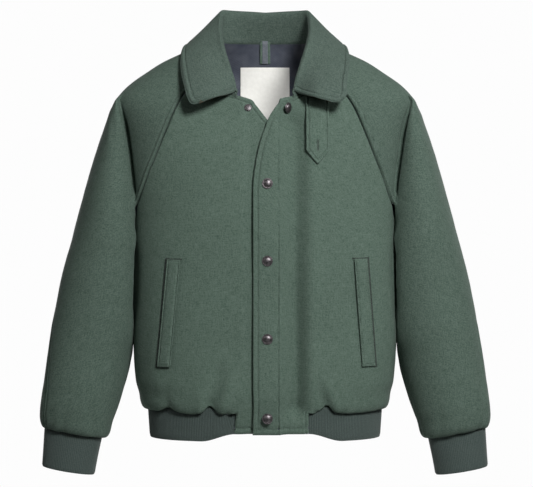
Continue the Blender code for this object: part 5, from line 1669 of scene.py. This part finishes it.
def make_buttonhole(cloth):
    """A slit of painted shade, a near-black sheet, with close whipped stitches on both its sides."""
    lift = TAB_LIFT + TAB_WALL + 0.75 * MM
    slit = laid_grid([[(TAB_X + a, z) for a in np.linspace(-0.6 * MM, 0.6 * MM, 4)]
                      for z in np.linspace(BUTTONHOLE_TOP_Z, BUTTONHOLE_BOTTOM_Z, 12)], "left", lift)
    add_pad("buttonhole_slit", slit, 0.4 * MM, cloth)
    lines = []
    for side in (-1, 1):
        for z in np.arange(BUTTONHOLE_TOP_Z, BUTTONHOLE_BOTTOM_Z, -WHIP_STEP):
            ends = [(TAB_X + side * BUTTONHOLE_HALF, z), (TAB_X + side * WHIP_END, z - 0.1 * MM)]
            points = laid_grid([ends], "left", lift - 0.1 * MM)[0]
            facing = np.array([front_point(*e)[1] for e in ends])
            lines.append((cut_line(points, np.linspace(0, 1, 4), (0, 0)),
                          np.repeat(facing[:1], 4, axis=0)))
    add_stitches("buttonhole_stitches", lines, cloth["thread"], "melton", 1.55 * MM)


def make_snap(name, x, z, side, radius, rim, dome, material, node_name, lift=LAYER_GAP, lean=0.0):
    """A stamped snap cap: rolled rim, shallow ring groove and a low dome."""
    point, normal = front_point(x, z)
    base = point + normal * (relief_at(x, z, side) + lift)
    normal = np.array(Matrix.Rotation(lean, 3, SNAP_LEAN_AXIS) @ Vector(normal))
    across = np.cross(normal, (0, 0, 1))
    across /= np.linalg.norm(across)
    up = np.cross(across, normal)
    profile = [(0.97 * radius, -0.4 * MM), (radius, 0.25 * rim), (0.985 * radius, 0.70 * rim),
               (0.93 * radius, rim), (0.87 * radius, 1.02 * rim), (0.83 * radius, 0.93 * rim),
               (0.79 * radius, 0.98 * rim)]
    for t in np.linspace(0.12, 1.0, 10):
        angle = t * math.pi / 2
        profile.append((0.78 * radius * math.cos(angle), rim + dome * math.sin(angle)))
    profile[-1] = (0.02 * radius, rim + dome)
    sides = 48
    vertices = []
    for r, h in profile:
        for s in range(sides):
            turn = 2 * math.pi * s / sides
            vertices.append(base + normal * h + (across * math.cos(turn) + up * math.sin(turn)) * r)
    last = len(vertices) - sides
    faces = [tuple(range(sides)), tuple(reversed(range(last, last + sides)))]
    for ring in range(0, last, sides):
        for s in range(sides):
            a, b = ring + s, ring + (s + 1) % sides
            faces.append((a, a + sides, b + sides, b))
    obj = add_object(name, vertices, faces, [material], sharp=35)
    finish_piece(obj, "snap_metal", node_name)


# ---- inside the back neck

def back_point(x, z):
    side, depth, square = torso_size(z, "back")
    return np.array([x, depth * (1 - (abs(x) / side) ** square) ** (1 / square), z])


def inside_grid(rows, depth):
    """Points of (x, z) rows on the inside of the back, a depth in from the outer form."""
    grid = np.array([[back_point(x, z) for x, z in row] for row in rows])
    normal = grid_normals(grid)
    if normal[..., 1].sum() > 0:
        grid = grid[:, ::-1]
        normal = grid_normals(grid)
    return grid + normal * depth


def make_lining(cloth, strength):
    rows = []
    for z in np.linspace(LINING_TOP_Z, LINING_BOTTOM_Z, 90):
        half = max(0.90 * RAGLAN["back"](z), LINING_NECK_HALF)
        rows.append([(x, z) for x in np.linspace(-half, half, 110)])
    grid = inside_grid(rows, WALL + 2 * LAYER_GAP + LINING_WALL)
    x, z = grid[..., 0], grid[..., 2]
    wrinkle = np.sin(x / 0.0085 + 2.0 * np.sin(z / 0.013)) * ease((0.03 - z) / 0.05) * 0.35 * MM
    wrinkle += 0.5 * MM * np.sin((x + 0.8 * z) / 0.017 + 1.0)
    edge = np.minimum(ease((LINING_TOP_Z - z) / 0.01), 1.0)
    grid = raised(grid, strength * wrinkle * edge)
    inner = grid - grid_normals(grid) * LINING_WALL * 0.6
    obj = add_shell("lining_panel", grid, inner, [cloth["lining"]])
    finish_piece(obj, "lining", "lining")


def make_label(cloth):
    """Bare woven label, sewn down along its top and bottom."""
    rows = [[(x, z) for x in np.linspace(-LABEL_WIDTH / 2, LABEL_WIDTH / 2, 60)]
            for z in np.linspace(LABEL_TOP_Z, LABEL_BOTTOM_Z, 64)]
    depth = WALL + 3.5 * LAYER_GAP + LINING_WALL + LABEL_WALL
    grid = inside_grid(rows, depth)
    sewn = [distance_to(grid, line) for line in (grid[0], grid[-1])]
    outer, inner, normals = sew(grid, (), [border_of(grid)], (), LABEL_WALL)
    for field in sewn:
        outer = outer - normals * (0.25 * MM * bell(field - LABEL_STITCH, 1.1 * MM))[..., None]
    obj = add_shell("neck_label_cloth", outer, inner, [cloth["label"]])
    finish_piece(obj, "label", "neck_label")
    lines = [line for field in sewn for line in contours(outer, normals, field, LABEL_STITCH)]
    add_stitches("neck_label_stitching", lines, cloth["label"], "label", 2.4 * MM)


def make_hanger_loop(cloth):
    """Melton loop faced with a narrow tape, sewn in at the neck seam and bowed a little."""
    depth = WALL + 3.5 * LAYER_GAP + LINING_WALL + LOOP_WALL
    for name, width, lift, material, nodes in (
            ("hanger_loop_cloth", LOOP_WIDTH, 0.0, cloth["melton"], ["hanger_loop"]),
            ("hanger_loop_tape", 0.55 * LOOP_WIDTH, 0.5 * MM, cloth["tape"], [])):
        rows = [[(x, z) for x in np.linspace(-width / 2, width / 2, 26)]
                for z in np.linspace(LOOP_TOP_Z, LOOP_BOTTOM_Z, 44)]
        grid = inside_grid(rows, depth + lift)
        part = (LOOP_TOP_Z - grid[..., 2]) / (LOOP_TOP_Z - LOOP_BOTTOM_Z)
        grid = raised(grid, LOOP_BOW * np.sin(math.pi * np.clip(part, 0, 1)))
        outer, inner, _ = sew(grid, (), [border_of(grid)], (), LOOP_WALL)
        obj = add_shell(name, outer, inner, [material])
        finish_piece(obj, "loop_tape", *nodes)


# ---- stage

def add_light(name, kind, target, azimuth, elevation, power):
    """A light that faces a target; its azimuth runs from the camera to the camera's right."""
    turn, rise = math.radians(azimuth), math.radians(elevation)
    away = Vector((math.sin(turn) * math.cos(rise), -math.cos(turn) * math.cos(rise), math.sin(rise)))
    light = bpy.data.lights.new(name, kind)
    light.energy = power
    obj = add_to_scene(name, light)
    obj.location = Vector(target) + away * LIGHT_DISTANCE
    obj.rotation_euler = (-away).to_track_quat("-Z", "Y").to_euler()
    return light


def add_softboxes(key_power):
    """Square softboxes: the key, two weak fills and two from behind."""
    for name, azimuth, elevation, size, share in SOFTBOXES:
        light = add_light(name, "AREA", JACKET_MIDDLE, azimuth, elevation, share * key_power)
        light.shape = "SQUARE"
        light.size = size


def add_neck_spot(power):
    """A snooted spot through the open neck onto the label, too narrow to touch the fronts."""
    light = add_light("neck_spot", "SPOT", LABEL_MIDDLE, 0, NECK_SPOT_ELEVATION, power)
    light.spot_size = NECK_SPOT_CONE
    light.spot_blend = 0.25
    light.shadow_soft_size = 0.02


def make_floor(stage):
    """A round pale floor below the jacket, matt painted board."""
    material, tree, shader = new_material("studio_floor_painted", 0.85, Specular_IOR_Level=0.2)
    noise = node(tree, "TexNoise", {"Vector": node(tree, "TexCoord", output="Object"), "Scale": per_mm(40),
                                    "Detail": 2.0})
    paint = node(tree, "Mix", {0: noise, 6: srgb("#e6e6e4"), 7: srgb("#ececea")}, 2, data_type="RGBA")
    tree.links.new(paint, shader["Base Color"])
    sides = 96
    turns = [2 * math.pi * s / sides for s in range(sides)]
    ring = [(stage.floor_radius * math.cos(turn), stage.floor_radius * math.sin(turn), stage.floor_height)
            for turn in turns]
    floor = add_object("studio_floor", ring, [tuple(range(sides))], [material])


def make_world(stage):
    """White dome, brightest overhead, that the camera sees as an even backdrop."""
    world = bpy.context.scene.world or bpy.data.worlds.new("studio")
    bpy.context.scene.world = world
    world.use_nodes = True
    tree = world.node_tree
    tree.nodes.clear()
    seen = node(tree, "LightPath", output="Is Camera Ray")
    up = node(tree, "SeparateXYZ", {"Vector": node(tree, "TexCoord", output="Generated")}, "Z")
    dome = node(tree, "MapRange", {"Value": up, "From Min": 0.1, "From Max": 1.0, "To Min": 0.03,
                                   "To Max": stage.fill}, interpolation_type="SMOOTHSTEP")
    fill = node(tree, "Background", {"Color": WHITE, "Strength": dome})
    backdrop = node(tree, "Background", {"Color": srgb("#fdfdfd"), "Strength": 1.0})
    mix = node(tree, "MixShader", {0: seen, 1: fill, 2: backdrop})
    node(tree, "OutputWorld", {"Surface": mix}, None)


def make_camera(stage):
    camera = bpy.data.cameras.new("camera")
    camera.sensor_width = SENSOR_WIDTH
    camera.lens = stage.pixels_per_unit * SENSOR_WIDTH / PHOTO_WIDTH
    camera.clip_end = 100.0
    obj = add_to_scene("camera", camera)
    obj.location = (stage.camera_x, -stage.camera_distance, stage.camera_height)
    obj.rotation_euler = (math.pi / 2, 0, 0)
    bpy.context.scene.camera = obj


# ---- properties, operators and panel

def colour_property(name, description, code):
    return bpy.props.FloatVectorProperty(name=name, description=description, subtype="COLOR", size=3,
                                         min=0, max=1, default=srgb(code)[:3])


def length_property(name, description, default):
    return bpy.props.FloatProperty(name=name, description=description, default=default, unit="LENGTH",
                                   precision=4)


class JacketColours(bpy.types.PropertyGroup):
    """Colours of the cloths, threads and metal."""
    melton: colour_property("Melton", "Wool melton of the body", "#4e6457")
    # Sleeve and collar melton are the body melton darkened, which paints shade.
    sleeve: colour_property("Sleeve melton", "Wool melton of the sleeves", "#485d51")
    collar: colour_property("Collar melton", "Wool melton of the collar", "#46594f")
    undercollar: colour_property("Undercollar", "Felt under the collar", "#6b5f4c")
    rib: colour_property("Rib knit", "Rib knit of hem and cuffs", "#3f4d49")
    lining: colour_property("Lining", "Satin lining", "#3e4452")
    label: colour_property("Label", "Bare woven label", "#ebeae4")
    tape: colour_property("Loop tape", "Tape on the hanger loop", "#565d66")
    thread: colour_property("Thread", "Topstitching thread", "#435a4d")
    snap: colour_property("Snap caps", "Plating of the snap caps", "#6a6467")


class JacketSizes(bpy.types.PropertyGroup):
    """Sizes of the sewing and of the cloth's unevenness."""
    stitch_pitch: length_property("Stitch length", "Length of one topstitch", 3.6 * MM)
    edge_stitch: length_property("Edge stitch inset", "Topstitching inside a free edge", 7.5 * MM)
    rib_pitch: length_property("Rib pitch", "Distance between two ribs of the knit", 2.9 * MM)
    crease_strength: bpy.props.FloatProperty(
        name="Creases", description="Strength of the creases and of the cloth's unevenness", default=1.0,
        min=0.0, max=2.0, subtype="FACTOR")


class JacketStage(bpy.types.PropertyGroup):
    """Camera, floor and light."""
    camera_distance: length_property("Camera distance", "From the origin to the camera", 3.0)
    camera_x: length_property("Camera side", "Camera to the side of the centre line", 0.0025)
    camera_height: length_property("Camera height", "Height of the level camera", -0.303)
    pixels_per_unit: bpy.props.FloatProperty(
        name="Focal length in pixels", description="Of a picture as wide as the photo", default=1818.0)
    floor_height: length_property("Floor height", "Height of the floor below the neck", -1.45)
    floor_radius: length_property("Floor radius", "Radius of the round floor", 0.9)
    fill: bpy.props.FloatProperty(
        name="Fill light", description="Strength of the light from above", default=0.10)
    key: bpy.props.FloatProperty(
        name="Key light", description="Power of the large softbox", default=91.0, unit="POWER")
    neck_spot: bpy.props.FloatProperty(
        name="Neck spot", description="Power of the narrow spot onto the label", default=200.0, unit="POWER")


class JACKET_OT_body(bpy.types.Operator):
    """Make the back and both fronts, with the placket's topstitching"""
    bl_idname = "jacket.body"
    bl_label = "Back and fronts"

    def execute(self, context):
        cloth, sizes = cloth_and_sizes(context)
        make_back(cloth, sizes.crease_strength)
        for side in SIDES:
            make_front(side, cloth, sizes.stitch_pitch, sizes.crease_strength)
        return {"FINISHED"}


class JACKET_OT_sleeves(bpy.types.Operator):
    """Make the four halves of the raglan sleeves"""
    bl_idname = "jacket.sleeves"
    bl_label = "Sleeves"

    def execute(self, context):
        cloth, sizes = cloth_and_sizes(context)
        for side in SIDES:
            for face in ("front", "back"):
                make_sleeve_half(side, face, cloth, sizes.stitch_pitch, sizes.crease_strength)
        return {"FINISHED"}


class JACKET_OT_ribs(bpy.types.Operator):
    """Knit the hem band and the cuffs"""
    bl_idname = "jacket.ribs"
    bl_label = "Hem rib and cuffs"

    def execute(self, context):
        cloth, sizes = cloth_and_sizes(context)
        make_hem_rib(cloth, sizes.rib_pitch)
        for side in SIDES:
            make_cuff(side, cloth, sizes.rib_pitch)
        return {"FINISHED"}


class JACKET_OT_collar(bpy.types.Operator):
    """Make the shirt collar with its topstitching"""
    bl_idname = "jacket.collar"
    bl_label = "Collar"

    def execute(self, context):
        cloth, sizes = cloth_and_sizes(context)
        make_collar(cloth, sizes.stitch_pitch, sizes.crease_strength)
        return {"FINISHED"}


class JACKET_OT_pockets(bpy.types.Operator):
    """Make the two slanted welt pockets"""
    bl_idname = "jacket.pockets"
    bl_label = "Pocket welts"

    def execute(self, context):
        cloth, sizes = cloth_and_sizes(context)
        for side in SIDES:
            make_pocket(side, cloth, sizes.stitch_pitch)
        return {"FINISHED"}


class JACKET_OT_throat_tab(bpy.types.Operator):
    """Make the throat tab with its buttonhole"""
    bl_idname = "jacket.throat_tab"
    bl_label = "Throat tab"

    def execute(self, context):
        cloth, sizes = cloth_and_sizes(context)
        make_throat_tab(cloth, sizes.stitch_pitch)
        return {"FINISHED"}


class JACKET_OT_snaps(bpy.types.Operator):
    """Set the snap caps and the open snap's socket"""
    bl_idname = "jacket.snaps"
    bl_label = "Snaps"

    def execute(self, context):
        metal = cloth_and_sizes(context)[0]["snap"]
        cap = (SNAP_RADIUS, SNAP_RIM, SNAP_DOME, metal)
        make_snap("snap_cap_1", *TOP_SNAP, "left", *cap, "snap_1", TOP_SNAP_LIFT, TOP_SNAP_LEAN)
        for number, z in enumerate(SNAP_HEIGHTS, start=2):
            make_snap(f"snap_cap_{number}", SNAP_X, z, "left", *cap, f"snap_{number}")
        make_snap("snap_socket_ring", *SOCKET, "right", SOCKET_RADIUS, SOCKET_RIM, 0.6 * MM, metal,
                  "snap_socket", NECK_LIFT)
        return {"FINISHED"}


class JACKET_OT_inside_neck(bpy.types.Operator):
    """Make the lining, the bare label and the hanger loop inside the back neck"""
    bl_idname = "jacket.inside_neck"
    bl_label = "Inside the neck"

    def execute(self, context):
        cloth, sizes = cloth_and_sizes(context)
        make_lining(cloth, sizes.crease_strength)
        make_label(cloth)
        make_hanger_loop(cloth)
        return {"FINISHED"}


class JACKET_OT_stage(bpy.types.Operator):
    """Set the floor, the soft light and the camera"""
    bl_idname = "jacket.stage"
    bl_label = "Stage"

    def execute(self, context):
        stage = context.scene.jacket_stage
        context.scene.view_settings.view_transform = "Standard"
        make_floor(stage)
        make_world(stage)
        add_softboxes(stage.key)
        add_neck_spot(stage.neck_spot)
        make_camera(stage)
        return {"FINISHED"}


OPERATORS = (JACKET_OT_body, JACKET_OT_sleeves, JACKET_OT_ribs, JACKET_OT_collar, JACKET_OT_pockets,
             JACKET_OT_throat_tab, JACKET_OT_snaps, JACKET_OT_inside_neck, JACKET_OT_stage)
PROPERTIES = {"jacket_colours": JacketColours, "jacket_sizes": JacketSizes, "jacket_stage": JacketStage}


class JACKET_PT_panel(bpy.types.Panel):
    """Lists the jacket's pieces and what can be changed on them"""
    bl_idname = "JACKET_PT_panel"
    bl_label = "Bomber jacket"
    bl_space_type = "VIEW_3D"
    bl_region_type = "UI"
    bl_category = "Jacket"

    def draw(self, context):
        for name, group in PROPERTIES.items():
            box = self.layout.box()
            for key in group.__annotations__:
                box.prop(getattr(context.scene, name), key)
        for operator in OPERATORS:
            self.layout.operator(operator.bl_idname)


def register():
    for cls in (*PROPERTIES.values(), *OPERATORS, JACKET_PT_panel):
        bpy.utils.register_class(cls)
    for name, group in PROPERTIES.items():
        setattr(bpy.types.Scene, name, bpy.props.PointerProperty(type=group))


def unregister():
    for name in PROPERTIES:
        delattr(bpy.types.Scene, name)
    for cls in reversed((*PROPERTIES.values(), *OPERATORS, JACKET_PT_panel)):
        bpy.utils.unregister_class(cls)


def main():
    register()
    for operator in OPERATORS:
        group, name = operator.bl_idname.split(".")
        getattr(getattr(bpy.ops, group), name)()


if __name__ == "__main__":
    main()
